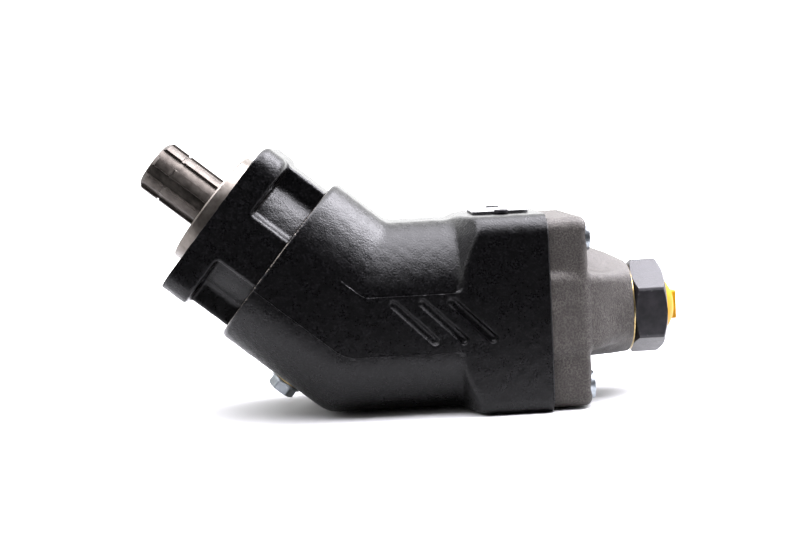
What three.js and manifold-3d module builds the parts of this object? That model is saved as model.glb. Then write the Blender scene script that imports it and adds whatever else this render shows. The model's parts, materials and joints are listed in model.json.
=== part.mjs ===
// Bent-axis hydraulic motor: splined shaft, square mounting flange, 40 degree housing and rear port cap.
// Millimetres, +Z up. The cylinder barrel's axis is horizontal, along X, with the port cap at +X.
import * as THREE from 'three';
import { mergeVertices } from 'three/addons/utils/BufferGeometryUtils.js';
import { ConvexGeometry } from 'three/addons/geometries/ConvexGeometry.js';
import Module from 'manifold-3d';

const wasm = await Module();
wasm.setup();

// ---------------------------------------------------------------- driving dimensions
// The shaft axis and the barrel axis meet at the bend point, which is the working origin of the model.
// "a" is measured outwards along the shaft axis, "x" towards the port cap along the barrel axis.
const BEND_ANGLE = THREE.MathUtils.degToRad(40);
const GAP = 0.3; // clearance between neighbouring pieces
const FINE = 32; // facets round a large circle
const MEDIUM = 20;
const COARSE = 12;

const FLANGE = { back: 92.8, face: 111.1, half: 55, corner: 16, boltPitch: 40, boltHoleR: 6.5 };
const PILOT = { r: 40, end: 120 };
const SEAM_A = 64.2; // joint between the bearing housing and the barrel housing
const BODY = { r: 47, webHalf: 28, webHeight: 53, padLow: -19, padHigh: 17 };
const SPIGOT = { r: 41, start: 31 };
const SPIGOT_SEAL = { a: 60, r: 1.05 };
const FRONT_BORE = { r: 34.1, start: 69 };
const CIRCLIP = { start: 108, end: 110, inner: 30, outer: 35.6 };
const SHAFT_SEAL = { start: 99.5, end: 107.6 };

const REAR_BEARING = { start: 33, end: 53, bore: 22.5, outer: 38, rollers: 12, rollerR: 3.9, grow: -1 };
const FRONT_BEARING = { start: 71, end: 88, bore: 20, outer: 34, rollers: 12, rollerR: 3.3, grow: 1 };
const LOCK_NUT = { r: 27, end: 95 };

const SHAFT = { end: 165.6, sealR: 18.6, splineStart: 113, rootR: 16, tipR: 18, toothWidth: 6, teeth: 8 };
const SPLINE_TURN = THREE.MathUtils.degToRad(13);
const DRIVE_FLANGE = { front: 1.5, back: 14, r: 35.5 };

const PISTONS = { count: 7, pitch: 25, r: 9, ballR: 7.5, length: 45, crown: 108.3 };
const PISTON_RING = { fromCrown: 5, width: 2.5 };
const BARREL = { start: 24.5, end: 117, r: 38, centreBore: 7 };
const CENTRE_PIN = { ballR: 6, r: 5, end: 72 };
const VALVE_PLATE = { start: 117.3, end: 121.7, r: 38, kidneyHalfWidth: 4 };
const LOCATING_PIN = { height: 33, r: 2.4, start: 118.4, end: 126.5 };

const HOUSING = { cavityR: 42, spigotBore: SPIGOT.r + GAP };
const BLOCK = { front: 64, shoulder: 76.5, end: 121, halfWidth: 61.5, bottom: -61, top: 63, corner: 9 };
const GROOVE = { first: 24.6, pitch: 18, high: 12, low: -12, r: 2.4, depth: 2, side: 60.5 };
const CAP = { start: 122, end: 146.4, half: 60, corner: 12, edge: 5 };
const CAP_SCREW = { height: 47.2, width: 44, r: 6, headR: 9, headStart: 141.6, headEnd: 148.6, tip: 95 };
const BOSS = { z: -4.5, end: 179.6, rootZ: -2, rootR: 35.6, endR: 29.6, boreR: 16.5 };
const ADAPTER = {
  start: 181.4, end: 201.2, acrossFlats: 55, turn: THREE.MathUtils.degToRad(3.5),
  threadR: 16, boreR: 11, socketR: 16.5, socketStart: 189,
};
const PLUG = {
  stemR: 16, headR: 19.6, topR: 15.5, headEnd: 210.4, tabEnd: 212.5, tabHalfHeight: 9.5, tabHalfWidth: 4,
};

const DRAIN = { a: 10.8, bossR: 15.3, face: -61.6, washerR: 11.5, headFlats: 17, headHeight: 8, threadR: 7 };
const COVER = { x: 95.9, length: 36, halfWidth: 28, corner: 5, gasket: 0.6, thickness: 0.8 };
const COVER_SCREW = { y: 30.5, r: 3, headR: 4.5, headHeight: 2.7, tip: 53 };
const TOP_PORT = { r: 17, floor: 50, channelHeight: 52, channelY: 14, channelR: 5.5 };
const HOUSING_SCREW = { pitch: 47.5, r: 4, headR: 6.5, headStart: 102, headEnd: 110, tip: 50 };

// ---------------------------------------------------------------- materials
const paint = (color, roughness, metalness) =>
  new THREE.MeshStandardMaterial({ color, roughness, metalness });
const MATERIALS = {
  blackCasting: paint(0x1a1a1d, 0.45, 0.1),
  bareIron: paint(0x635d58, 0.65, 0.6),
  machinedSteel: paint(0x8d857c, 0.35, 0.9),
  bearingSteel: paint(0xb8bcc0, 0.25, 1.0),
  darkSteel: paint(0x3c3b3e, 0.45, 0.8),
  zinc: paint(0xb9c1cc, 0.35, 0.9),
  brightPlate: paint(0xd8d9da, 0.35, 0.7),
  goldSeal: paint(0xb59a52, 0.35, 0.9),
  bronze: paint(0xa9793c, 0.4, 0.9),
  rubber: paint(0x151515, 0.8, 0.0),
  yellowPlastic: paint(0xf6c51a, 0.45, 0.0),
};

// ---------------------------------------------------------------- solids from three.js geometry
function toSolid(geometry) {
  const bare = geometry.clone();
  bare.deleteAttribute('normal');
  bare.deleteAttribute('uv');
  const merged = mergeVertices(bare, 1e-4);
  const vertProperties = new Float32Array(merged.attributes.position.array);
  const corners = [];
  const source = merged.index.array;
  for (let i = 0; i < source.length; i += 3) {
    const [p, q, r] = [source[i], source[i + 1], source[i + 2]];
    if (p !== q && q !== r && r !== p) corners.push(p, q, r);
  }
  if (signedVolume(vertProperties, corners) < 0) corners.reverse();
  const triVerts = new Uint32Array(corners);
  return new wasm.Manifold(new wasm.Mesh({ numProp: 3, vertProperties, triVerts }));
}

function signedVolume(points, corners) {
  const at = (i) => new THREE.Vector3().fromArray(points, 3 * i);
  let sum = 0;
  for (let i = 0; i < corners.length; i += 3) {
    sum += at(corners[i]).dot(at(corners[i + 1]).cross(at(corners[i + 2])));
  }
  return sum;
}

function toGeometry(solid) {
  const mesh = solid.getMesh();
  const geometry = new THREE.BufferGeometry();
  geometry.setAttribute('position', new THREE.BufferAttribute(new Float32Array(mesh.vertProperties), 3));
  geometry.setIndex(new THREE.BufferAttribute(new Uint32Array(mesh.triVerts), 1));
  geometry.computeVertexNormals();
  return geometry;
}

// Solid of revolution about Z from [radius, z] points; a profile off the axis is closed into a ring.
function turned(profile, facets = FINE) {
  const points = profile.map(([r, z]) => new THREE.Vector2(r, z));
  if (profile[0][0] > 0) points.push(points[0].clone());
  return toSolid(new THREE.LatheGeometry(points, facets).rotateX(Math.PI / 2));
}

// Round bar along Z, with its centre line at (x, y).
function bar(r, z0, z1, x = 0, y = 0, facets = COARSE) {
  const geometry = new THREE.CylinderGeometry(r, r, z1 - z0, facets).rotateX(Math.PI / 2);
  return toSolid(geometry.translate(x, y, (z0 + z1) / 2));
}

function ring(inner, outer, z0, z1, facets = FINE) {
  return turned([[inner, z0], [outer, z0], [outer, z1], [inner, z1]], facets);
}

function box(x0, x1, y0, y1, z0, z1) {
  const geometry = new THREE.BoxGeometry(x1 - x0, y1 - y0, z1 - z0);
  return toSolid(geometry.translate((x0 + x1) / 2, (y0 + y1) / 2, (z0 + z1) / 2));
}

// Prism along Z with the outline of a 2-D shape.
function prism(shape, z0, z1, curveSegments = 3) {
  const geometry = new THREE.ExtrudeGeometry(shape, { depth: z1 - z0, bevelEnabled: false, curveSegments });
  return toSolid(geometry.translate(0, 0, z0));
}

function hexagonBar(acrossFlats, z0, z1, turn = 0) {
  const cornerR = acrossFlats / Math.sqrt(3);
  const geometry = new THREE.CylinderGeometry(cornerR, cornerR, z1 - z0, 6);
  return toSolid(geometry.rotateX(Math.PI / 2).rotateZ(turn).translate(0, 0, (z0 + z1) / 2));
}

function roundedRectangle(x0, x1, y0, y1, r) {
  const shape = new THREE.Shape();
  shape.moveTo(x0 + r, y0);
  shape.absarc(x1 - r, y0 + r, r, -Math.PI / 2, 0);
  shape.absarc(x1 - r, y1 - r, r, 0, Math.PI / 2);
  shape.absarc(x0 + r, y1 - r, r, Math.PI / 2, Math.PI);
  shape.absarc(x0 + r, y0 + r, r, Math.PI, 1.5 * Math.PI);
  return shape;
}

// Outline that mirrors a list of [height, halfWidth] points to both sides, drawn as (height, width).
function mirroredOutline(points) {
  const left = points.map(([height, half]) => new THREE.Vector2(height, half));
  const right = points.map(([height, half]) => new THREE.Vector2(height, -half)).reverse();
  return new THREE.Shape([...left, ...right]);
}

const union = (first, ...others) => others.reduce((sum, solid) => sum.add(solid), first);
const cut = (first, ...tools) => tools.reduce((rest, tool) => rest.subtract(tool), first);

function aroundAxis(count, radius, make, phase = 0) {
  return Array.from({ length: count }, (_, k) => {
    const angle = phase + (k * 2 * Math.PI) / count;
    return make(radius * Math.cos(angle), radius * Math.sin(angle), k);
  });
}

// ---------------------------------------------------------------- scene graph
// Inside shaftFrame, Z runs outwards along the shaft, X points up and Y away.
// Inside barrelFrame, Z runs along the barrel towards the port cap, X points down and Y away.
const motor = new THREE.Group();
const assembly = new THREE.Group();
const shaftFrame = new THREE.Group();
const barrelFrame = new THREE.Group();
motor.add(assembly);
assembly.add(shaftFrame, barrelFrame);
shaftFrame.rotation.y = BEND_ANGLE - Math.PI / 2;
barrelFrame.rotation.y = Math.PI / 2;

function place(parent, name, solid, material) {
  const mesh = new THREE.Mesh(toGeometry(solid), material);
  mesh.name = name;
  parent.add(mesh);
  return mesh;
}

const intoBarrelFrame = (shaftSolid) => shaftSolid.rotate([0, 40 - 180, 0]);

// ---------------------------------------------------------------- bearing housing
function bearingHousing() {
  const { half, corner, back, face, boltPitch, boltHoleR } = FLANGE;
  const flange = prism(roundedRectangle(-half, half, -half, half, corner), back, face);
  const pilot = turned([
    [0, face - 5], [PILOT.r, face - 5], [PILOT.r, PILOT.end - 1], [PILOT.r - 1, PILOT.end], [0, PILOT.end],
  ]);
  const body = bar(BODY.r, SEAM_A, back + 1, 0, 0, FINE);
  const web = box(-BODY.webHeight, BODY.webHeight, -BODY.webHalf, BODY.webHalf, SEAM_A, back + 1);
  const pads = box(BODY.padLow, BODY.padHigh, -half, half, SEAM_A, back + 1);
  const spigot = bar(SPIGOT.r, SPIGOT.start, SEAM_A + 1, 0, 0, FINE);
  const casting = union(flange, pilot, body, web, pads, spigot);

  const rearSeat = bar(REAR_BEARING.outer + 0.2, SPIGOT.start - 1, REAR_BEARING.end + GAP, 0, 0, FINE);
  const throat = bar(29, REAR_BEARING.end, FRONT_BORE.start + 1, 0, 0, FINE);
  const frontBore = bar(FRONT_BORE.r, FRONT_BORE.start, PILOT.end + 1, 0, 0, FINE);
  const clipGroove = bar(CIRCLIP.outer + 0.3, CIRCLIP.start - 0.2, CIRCLIP.end + 0.2, 0, 0, FINE);
  const sealGroove = ring(SPIGOT.r - 2.4, SPIGOT.r + 1, SPIGOT_SEAL.a - 1.5, SPIGOT_SEAL.a + 1.5);
  const boltHoles = [];
  for (const sx of [-1, 1]) {
    for (const sy of [-1, 1]) {
      boltHoles.push(bar(boltHoleR, back - 1, face + 1, sx * boltPitch, sy * boltPitch));
    }
  }
  const screwHoles = aroundAxis(4, HOUSING_SCREW.pitch, (x, y) =>
    bar(HOUSING_SCREW.r + 0.35, SEAM_A - 1, face, x, y, 12));
  const screwSeats = aroundAxis(4, HOUSING_SCREW.pitch, (x, y) =>
    bar(HOUSING_SCREW.headR + 0.4, HOUSING_SCREW.headStart - GAP, face + 1, x, y, COARSE));
  return cut(
    casting, rearSeat, throat, frontBore, clipGroove, sealGroove, ...boltHoles, ...screwHoles, ...screwSeats,
  );
}
place(shaftFrame, 'bearing_housing', bearingHousing(), MATERIALS.blackCasting);

// ---------------------------------------------------------------- shaft and what turns with it
function splineOutline() {
  const { rootR, tipR, toothWidth, teeth } = SHAFT;
  const halfTip = Math.asin(toothWidth / 2 / tipR);
  const halfRoot = Math.asin(toothWidth / 2 / rootR);
  const points = [];
  for (let k = 0; k < teeth; k += 1) {
    const middle = SPLINE_TURN + (k * 2 * Math.PI) / teeth;
    const corners = [[rootR, -halfRoot], [tipR, -halfTip], [tipR, 0], [tipR, halfTip], [rootR, halfRoot]];
    corners.push([rootR, Math.PI / teeth]);
    for (const [r, turn] of corners) {
      points.push(new THREE.Vector2(r * Math.cos(middle + turn), r * Math.sin(middle + turn)));
    }
  }
  return new THREE.Shape(points);
}

function driveShaft() {
  const { end, sealR, splineStart, tipR } = SHAFT;
  const blank = turned([
    [0, DRIVE_FLANGE.front], [DRIVE_FLANGE.r, DRIVE_FLANGE.front], [DRIVE_FLANGE.r, DRIVE_FLANGE.back - 3],
    [30, DRIVE_FLANGE.back], [27, DRIVE_FLANGE.back], [27, REAR_BEARING.start - 0.5],
    [REAR_BEARING.bore, REAR_BEARING.start - 0.5], [REAR_BEARING.bore, REAR_BEARING.end],
    [FRONT_BEARING.bore, REAR_BEARING.end], [FRONT_BEARING.bore, LOCK_NUT.end + 1],
    [sealR, LOCK_NUT.end + 2], [sealR, splineStart - 1],
    [tipR - 1, splineStart], [0, splineStart],
  ]);
  const splines = prism(splineOutline(), splineStart - 2, end);
  const endForm = turned([[0, 100], [tipR + 1, 100], [tipR + 1, end - 2.6], [15.2, end], [0, end]]);
  const clipGroove = ring(tipR - 1, tipR + 3, end - 16.6, end - 14.8);
  const ballSockets = aroundAxis(PISTONS.count, PISTONS.pitch, (x, y) =>
    toSolid(new THREE.SphereGeometry(PISTONS.ballR + GAP, 12, 6).translate(x, y, 0)));
  const centreSocket = toSolid(new THREE.SphereGeometry(CENTRE_PIN.ballR + GAP, 12, 8));
  const centreDrill = turned([[0, end - 9], [1.6, end - 9], [1.6, end - 4], [4, end + 1], [0, end + 1]], 12);
  const shaft = union(blank, cut(splines.intersect(endForm), clipGroove));
  return cut(shaft, ...ballSockets, centreSocket, centreDrill);
}
place(shaftFrame, 'drive_shaft', driveShaft(), MATERIALS.machinedSteel);

// Tapered roller bearing: the cone's race, the rollers and the cup's race all slope by the contact angle.
function taperBearing(prefix, { start, end, bore, outer, rollers, rollerR, grow }) {
  const slope = Math.tan(THREE.MathUtils.degToRad(12));
  const middle = (start + end) / 2;
  const pitch = (bore + outer) / 2;
  const raceAt = (z, offset) => pitch + offset + grow * slope * (z - middle);
  const cupOffset = rollerR + 0.45;
  const coneOffset = -rollerR - 0.45;
  const cup = turned([
    [raceAt(start, cupOffset), start], [outer, start], [outer, end], [raceAt(end, cupOffset), end],
  ]);
  const cone = turned([
    [bore + GAP, start], [raceAt(start, coneOffset), start],
    [raceAt(end, coneOffset), end], [bore + GAP, end],
  ]);
  const inset = 3;
  const cage = turned([
    [raceAt(start + 1.5, -0.9), start + 1.5], [raceAt(start + 1.5, 0.9), start + 1.5],
    [raceAt(end - 1.5, 0.9), end - 1.5], [raceAt(end - 1.5, -0.9), end - 1.5],
  ], rollers * 2);
  const length = (end - start - 2 * inset) / Math.cos(Math.atan(slope));
  const rollerSet = aroundAxis(rollers, 1, (cosine, sine) => {
    const geometry = new THREE.CylinderGeometry(rollerR, rollerR, length, 6).rotateX(Math.PI / 2);
    geometry.rotateY(grow * Math.atan(slope)).translate(pitch, 0, middle);
    return toSolid(geometry.rotateZ(Math.atan2(sine, cosine)));
  });
  place(shaftFrame, `${prefix}_bearing_cup`, cup, MATERIALS.bearingSteel);
  place(shaftFrame, `${prefix}_bearing_cone`, cone, MATERIALS.bearingSteel);
  place(shaftFrame, `${prefix}_bearing_rollers`, union(cage, ...rollerSet), MATERIALS.bearingSteel);
}
taperBearing('rear', REAR_BEARING);
taperBearing('front', FRONT_BEARING);

const spacer = ring(FRONT_BEARING.bore + GAP, 25, REAR_BEARING.end + GAP, FRONT_BEARING.start - GAP, MEDIUM);
place(shaftFrame, 'bearing_spacer', spacer, MATERIALS.machinedSteel);
const lockNut = cut(
  ring(FRONT_BEARING.bore + GAP, LOCK_NUT.r, FRONT_BEARING.end + GAP, LOCK_NUT.end, MEDIUM),
  ...aroundAxis(4, LOCK_NUT.r, (x, y) => bar(3, LOCK_NUT.end - 4, LOCK_NUT.end + 1, x, y, 8)),
);
place(shaftFrame, 'shaft_lock_nut', lockNut, MATERIALS.darkSteel);

const shaftSeal = turned([
  [SHAFT.sealR + GAP, SHAFT_SEAL.start + 1.5], [24, SHAFT_SEAL.start], [33.7, SHAFT_SEAL.start],
  [33.7, SHAFT_SEAL.end], [30, SHAFT_SEAL.end], [30, SHAFT_SEAL.start + 3.5], [24, SHAFT_SEAL.start + 3.5],
  [19.6, SHAFT_SEAL.end - 1.6], [SHAFT.sealR + GAP, SHAFT_SEAL.end - 3.6],
], 24);
place(shaftFrame, 'shaft_seal', shaftSeal, MATERIALS.rubber);
const circlipGap = box(15, 45, -6, 6, CIRCLIP.start - 1, CIRCLIP.end + 1);
const circlip = ring(CIRCLIP.inner, CIRCLIP.outer, CIRCLIP.start, CIRCLIP.end).subtract(circlipGap);
place(shaftFrame, 'seal_circlip', circlip, MATERIALS.darkSteel);

const sealSection = new THREE.Shape().absarc(SPIGOT.r - 1.1, SPIGOT_SEAL.a, SPIGOT_SEAL.r, 0, 2 * Math.PI);
const ringProfile = sealSection.getPoints(3).slice(0, -1).map((p) => [p.x, p.y]);
place(shaftFrame, 'housing_o_ring', turned(ringProfile), MATERIALS.rubber);

function housingScrew(x, y) {
  const { r, headR, headStart, headEnd, tip } = HOUSING_SCREW;
  const socket = hexagonBar(6, headEnd - 4, headEnd + 1).translate([x, y, 0]);
  return cut(union(bar(headR, headStart, headEnd, x, y), bar(r, tip, headStart + 1, x, y, 12)), socket);
}
aroundAxis(4, HOUSING_SCREW.pitch, (x, y, k) =>
  place(shaftFrame, `housing_screw_${k + 1}`, housingScrew(x, y), MATERIALS.darkSteel));

// ---------------------------------------------------------------- barrel housing
// Cross-sections as [height, half width], with the height square to the arm's own axis.
const SHAFT_SECTION = [
  [60.5, 22], [58.5, 31], [53.5, 40], [45, 48], [35, 54], [25, 58.5], [17, 60], [-19, 60], [-31, 57],
  [-44, 51], [-54, 42], [-59, 31], [-60, 24],
];
const BARREL_SECTION = [
  [61, 22], [59, 31], [54, 40], [45, 48.5], [34, 55], [24, 59.5], [16.5, 60.5], [-16, 60.5], [-30, 57.5],
  [-45, 50.5], [-54.5, 41.5], [-58.8, 31], [-59.5, 24],
];

function barrelHousing() {
  const reach = 60;
  const front = prism(mirroredOutline(SHAFT_SECTION), -reach, SEAM_A - GAP);
  const rearPoints = BARREL_SECTION.map(([height, half]) => [-height, half]);
  const rear = prism(mirroredOutline(rearPoints), -reach, BLOCK.shoulder);
  // Both arms stop at the plane through the bend point that halves the angle between them.
  const mitre = box(-150, 150, -150, 150, 0, 300);
  const frontArm = intoBarrelFrame(front).intersect(mitre.rotate([0, 200, 0]));
  const rearArm = rear.intersect(mitre.rotate([0, 20, 0]).translate([0, 0, -0.02]));

  const drainBoss = bar(DRAIN.bossR, -DRAIN.face - 8, -DRAIN.face, 0, 0, MEDIUM).rotate([0, -90, 0]);
  const boss = intoBarrelFrame(drainBoss.translate([0, 0, DRAIN.a]));
  const casting = union(frontArm, rearArm, portBlock(), boss);

  const barrelCavity = bar(HOUSING.cavityR, -8, BLOCK.end + 1, 0, 0, FINE);
  const shaftCavity = intoBarrelFrame(bar(HOUSING.spigotBore, -8, SEAM_A + 1, 0, 0, FINE));
  const drainHole = union(
    bar(DRAIN.threadR + 0.35, 46, 70, 0, 0, COARSE),
    bar(4, 35, 60, 0, 0, 12),
  ).rotate([0, -90, 0]).translate([0, 0, DRAIN.a]);
  const tappedHoles = aroundAxis(4, HOUSING_SCREW.pitch, (x, y) =>
    intoBarrelFrame(bar(HOUSING_SCREW.r + 0.35, HOUSING_SCREW.tip - 2, SEAM_A, x, y, 12)));
  const capScrewHoles = capScrewPlaces().map(([x, y]) =>
    bar(CAP_SCREW.r + 0.35, CAP_SCREW.tip - 2, BLOCK.end + 1, x, y, 16));
  const topPort = underTheCover(bar(TOP_PORT.r, TOP_PORT.floor, 80, 0, 0, MEDIUM));
  const topChannel = channelBar(TOP_PORT.channelR, COVER.x, BLOCK.end + 1);
  const coverScrewHoles = [-1, 1].map((side) =>
    underTheCover(bar(COVER_SCREW.r + 0.35, COVER_SCREW.tip - 2, 70, 0, side * COVER_SCREW.y, 12)));
  return cut(
    casting, barrelCavity, shaftCavity, intoBarrelFrame(drainHole), ...tappedHoles, ...capScrewHoles,
    topPort, topChannel, ...coverScrewHoles, ...grooves(),
  );
}

// The square block behind the barrel arm: its front slopes out from the arm's outline to the block's.
function portBlock() {
  const { front, shoulder, end, bottom, top, halfWidth, corner } = BLOCK;
  const corners = [];
  for (const [height, half] of BARREL_SECTION) {
    corners.push(new THREE.Vector3(-height, half, front), new THREE.Vector3(-height, -half, front));
  }
  const outline = roundedRectangle(-top, -bottom, -halfWidth, halfWidth, corner).getPoints(3);
  for (const { x, y } of outline) {
    corners.push(new THREE.Vector3(x, y, shoulder), new THREE.Vector3(x, y, end));
  }
  return toSolid(new ConvexGeometry(corners));
}

// Three slanted grooves in the near side, each a shallow slot with round ends.
function grooves() {
  const { first, pitch, high, low, r, depth, side } = GROOVE;
  const span = Math.hypot(high - low, high - low);
  const slot = prism(roundedRectangle(-r, span + r, -r, r, r - 0.01), -depth, 6);
  const slanted = slot.rotate([0, 0, 45]).rotate([90, 0, 0]);
  return [0, 1, 2].map((k) => slanted.translate([-high, -side, first + k * pitch]));
}

const underTheCover = (upright) => upright.rotate([0, -90, 0]).translate([0, 0, COVER.x]);

// The drilled way from the top port back into the cap.
function channelBar(r, z0, z1) {
  return bar(r, z0, z1, -TOP_PORT.channelHeight, TOP_PORT.channelY, 16);
}

function capScrewPlaces() {
  const { height, width } = CAP_SCREW;
  return [[-height, -width], [height, -width], [-height, width], [height, width]];
}
place(barrelFrame, 'barrel_housing', barrelHousing(), MATERIALS.blackCasting);

// ---------------------------------------------------------------- cylinder barrel, pistons and valve plate
function cylinderBarrel() {
  const { start, end, r, centreBore } = BARREL;
  const blank = turned([[0, start], [r - 2, start], [r, start + 2], [r, end], [0, end]]);
  const bores = aroundAxis(PISTONS.count, PISTONS.pitch, (x, y) =>
    bar(PISTONS.r + 0.35, start - 1, PISTONS.crown + 1, x, y, COARSE), Math.PI);
  const feeds = aroundAxis(PISTONS.count, PISTONS.pitch, (x, y) =>
    bar(4.5, PISTONS.crown, end + 1, x, y, 12), Math.PI);
  const centre = bar(centreBore, start - 1, end - 13, 0, 0, MEDIUM);
  const drain = bar(3, end - 14, end + 1, 0, 0, 12);
  return cut(blank, ...bores, ...feeds, centre, drain);
}
place(barrelFrame, 'cylinder_barrel', cylinderBarrel(), MATERIALS.bronze);

// A piston is drawn pushed fully home: ball end towards the shaft, crown at the bottom of its bore.
function piston(x, y) {
  const { r, ballR, length, crown } = PISTONS;
  const ballCentre = crown - length;
  const neck = 4.6;
  const ball = [-60, -25, 15].map((degrees) => {
    const angle = THREE.MathUtils.degToRad(degrees);
    return [ballR * Math.cos(angle), ballCentre + ballR * Math.sin(angle)];
  });
  const grooveEnd = crown - PISTON_RING.fromCrown;
  const grooveStart = grooveEnd - PISTON_RING.width;
  const profile = [
    [0, ballCentre - ballR], ...ball, [neck, ballCentre + 6.2], [neck + 0.6, ballCentre + 12],
    [r, crown - 12], [r, grooveStart - GAP], [r - 1.6, grooveStart - GAP], [r - 1.6, grooveEnd + GAP],
    [r, grooveEnd + GAP], [r, crown], [0, crown],
  ];
  return turned(profile, COARSE).translate([x, y, 0]);
}
function pistonRing(x, y) {
  const grooveEnd = PISTONS.crown - PISTON_RING.fromCrown;
  const ringSolid = ring(PISTONS.r - 1.3, PISTONS.r + 0.05, grooveEnd - PISTON_RING.width, grooveEnd, COARSE);
  const slot = box(0, 12, -0.5, 0.5, grooveEnd - 5, grooveEnd + 2);
  return ringSolid.subtract(slot).translate([x, y, 0]);
}
aroundAxis(PISTONS.count, PISTONS.pitch, (x, y, k) => {
  place(barrelFrame, `piston_${k + 1}`, piston(x, y), MATERIALS.machinedSteel);
  place(barrelFrame, `piston_ring_${k + 1}`, pistonRing(x, y), MATERIALS.darkSteel);
}, Math.PI);

const centrePin = turned([
  [0, -CENTRE_PIN.ballR], [3.2, -5.1], [5.3, -2.8], [CENTRE_PIN.ballR, 0], [5.3, 2.8], [3.6, 4.9], [3.6, 12],
  [CENTRE_PIN.r, 20], [CENTRE_PIN.r, 28], [BARREL.centreBore - GAP, 32],
  [BARREL.centreBore - GAP, CENTRE_PIN.end], [0, CENTRE_PIN.end],
], COARSE);
place(barrelFrame, 'centre_pin', centrePin, MATERIALS.machinedSteel);

class Helix extends THREE.Curve {
  constructor(radius, start, end, turns) {
    super();
    Object.assign(this, { radius, start, end, turns });
  }

  getPoint(t, target = new THREE.Vector3()) {
    const angle = 2 * Math.PI * this.turns * t;
    const z = this.start + (this.end - this.start) * t;
    return target.set(this.radius * Math.cos(angle), this.radius * Math.sin(angle), z);
  }
}
const wire = new THREE.Shape().absarc(0, 0, 1.1, 0, 2 * Math.PI);
const springLine = new Helix(5.1, CENTRE_PIN.end + 2, BARREL.end - 15, 6);
const coil = new THREE.ExtrudeGeometry(wire, {
  extrudePath: springLine, steps: 48, curveSegments: 2, bevelEnabled: false,
});
place(barrelFrame, 'barrel_spring', toSolid(coil), MATERIALS.darkSteel);

function kidney(side, halfWidth, z0, z1) {
  const spread = THREE.MathUtils.degToRad(62);
  const middle = (side * Math.PI) / 2;
  const shape = new THREE.Shape();
  shape.absarc(0, 0, PISTONS.pitch + halfWidth, middle - spread, middle + spread);
  shape.absarc(0, 0, PISTONS.pitch - halfWidth, middle + spread, middle - spread, true);
  return prism(shape, z0, z1, 5);
}
function valvePlate() {
  const { start, end, r, kidneyHalfWidth } = VALVE_PLATE;
  const disc = cut(bar(r, start, end, 0, 0, FINE), bar(4, start - 1, end + 1, 0, 0, 12));
  const pinHole = bar(LOCATING_PIN.r + 0.3, start - 1, end + 1, -LOCATING_PIN.height, 0, 12);
  const kidneys = [-1, 1].map((side) => kidney(side, kidneyHalfWidth, start - 1, end + 1));
  return cut(disc, pinHole, ...kidneys);
}
place(barrelFrame, 'valve_plate', valvePlate(), MATERIALS.bronze);
const locatingPin = bar(LOCATING_PIN.r, LOCATING_PIN.start, LOCATING_PIN.end, -LOCATING_PIN.height, 0, 12);
place(barrelFrame, 'valve_plate_pin', locatingPin, MATERIALS.bearingSteel);

// ---------------------------------------------------------------- port cap
function capOutline() {
  return roundedRectangle(-CAP.half, CAP.half, -CAP.half, CAP.half, CAP.corner);
}

// The hood is the smooth swelling that carries the cap's sides into the round port boss.
function hood() {
  const corners = [];
  const band = [[CAP.start, CAP.half], [CAP.start + 14, CAP.half], [CAP.end, CAP.half - 11]];
  for (const [z, half] of band) {
    for (const x of [-24, 21]) {
      corners.push(new THREE.Vector3(x, half, z), new THREE.Vector3(x, -half, z));
    }
  }
  for (let k = 0; k < MEDIUM; k += 1) {
    const angle = (k * 2 * Math.PI) / MEDIUM;
    const [cosine, sine] = [Math.cos(angle), Math.sin(angle)];
    corners.push(new THREE.Vector3(-BOSS.rootZ + BOSS.rootR * cosine, BOSS.rootR * sine, CAP.end + 3));
    corners.push(new THREE.Vector3(-BOSS.z + BOSS.endR * cosine, BOSS.endR * sine, BOSS.end));
  }
  return toSolid(new ConvexGeometry(corners));
}

// The square plate of the cap, with the edges of its outer face eased all round.
function capPlate() {
  const { start, end, half, corner, edge } = CAP;
  const corners = [];
  for (const [z, inset] of [[start, 0], [end - edge, 0], [end - 0.3 * edge, 0.3 * edge], [end, edge]]) {
    const outline = roundedRectangle(inset - half, half - inset, inset - half, half - inset, corner - inset);
    for (const { x, y } of outline.getPoints(3)) corners.push(new THREE.Vector3(x, y, z));
  }
  return toSolid(new ConvexGeometry(corners));
}

function portCap() {
  const plate = capPlate();
  const casting = union(plate, hood());
  const screwHoles = capScrewPlaces().map(([x, y]) => union(
    bar(CAP_SCREW.r + 0.35, CAP.start - 1, CAP.end + 1, x, y, 16),
    bar(CAP_SCREW.headR + 0.4, CAP_SCREW.headStart - GAP, CAP.end + 10, x, y, COARSE),
  ));
  const boreX = -BOSS.z;
  const port = union(
    bar(BOSS.boreR, 156, BOSS.end + 1, boreX, 0, MEDIUM),
    bar(12, CAP.start + 5, BOSS.end, boreX, 0, MEDIUM),
  );
  const pressurePocket = kidney(-1, 3.5, CAP.start - 1, CAP.start + 9);
  const pressureWay = box(-4, 10, -25, 0, CAP.start + 4, CAP.start + 13);
  const returnPocket = kidney(1, 3.5, CAP.start - 1, CAP.start + 9);
  const returnWay = box(-TOP_PORT.channelHeight, -17, 9, 19, CAP.start + 5, CAP.start + 13);
  const topChannel = channelBar(TOP_PORT.channelR, CAP.start - 1, CAP.start + 9);
  const pinHole = bar(LOCATING_PIN.r + 0.3, CAP.start - 1, LOCATING_PIN.end + 1, -LOCATING_PIN.height, 0, 12);
  return cut(
    casting, ...screwHoles, port, pressurePocket, pressureWay, returnPocket, returnWay, topChannel, pinHole,
  );
}
place(barrelFrame, 'port_cap', portCap(), MATERIALS.bareIron);

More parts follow.
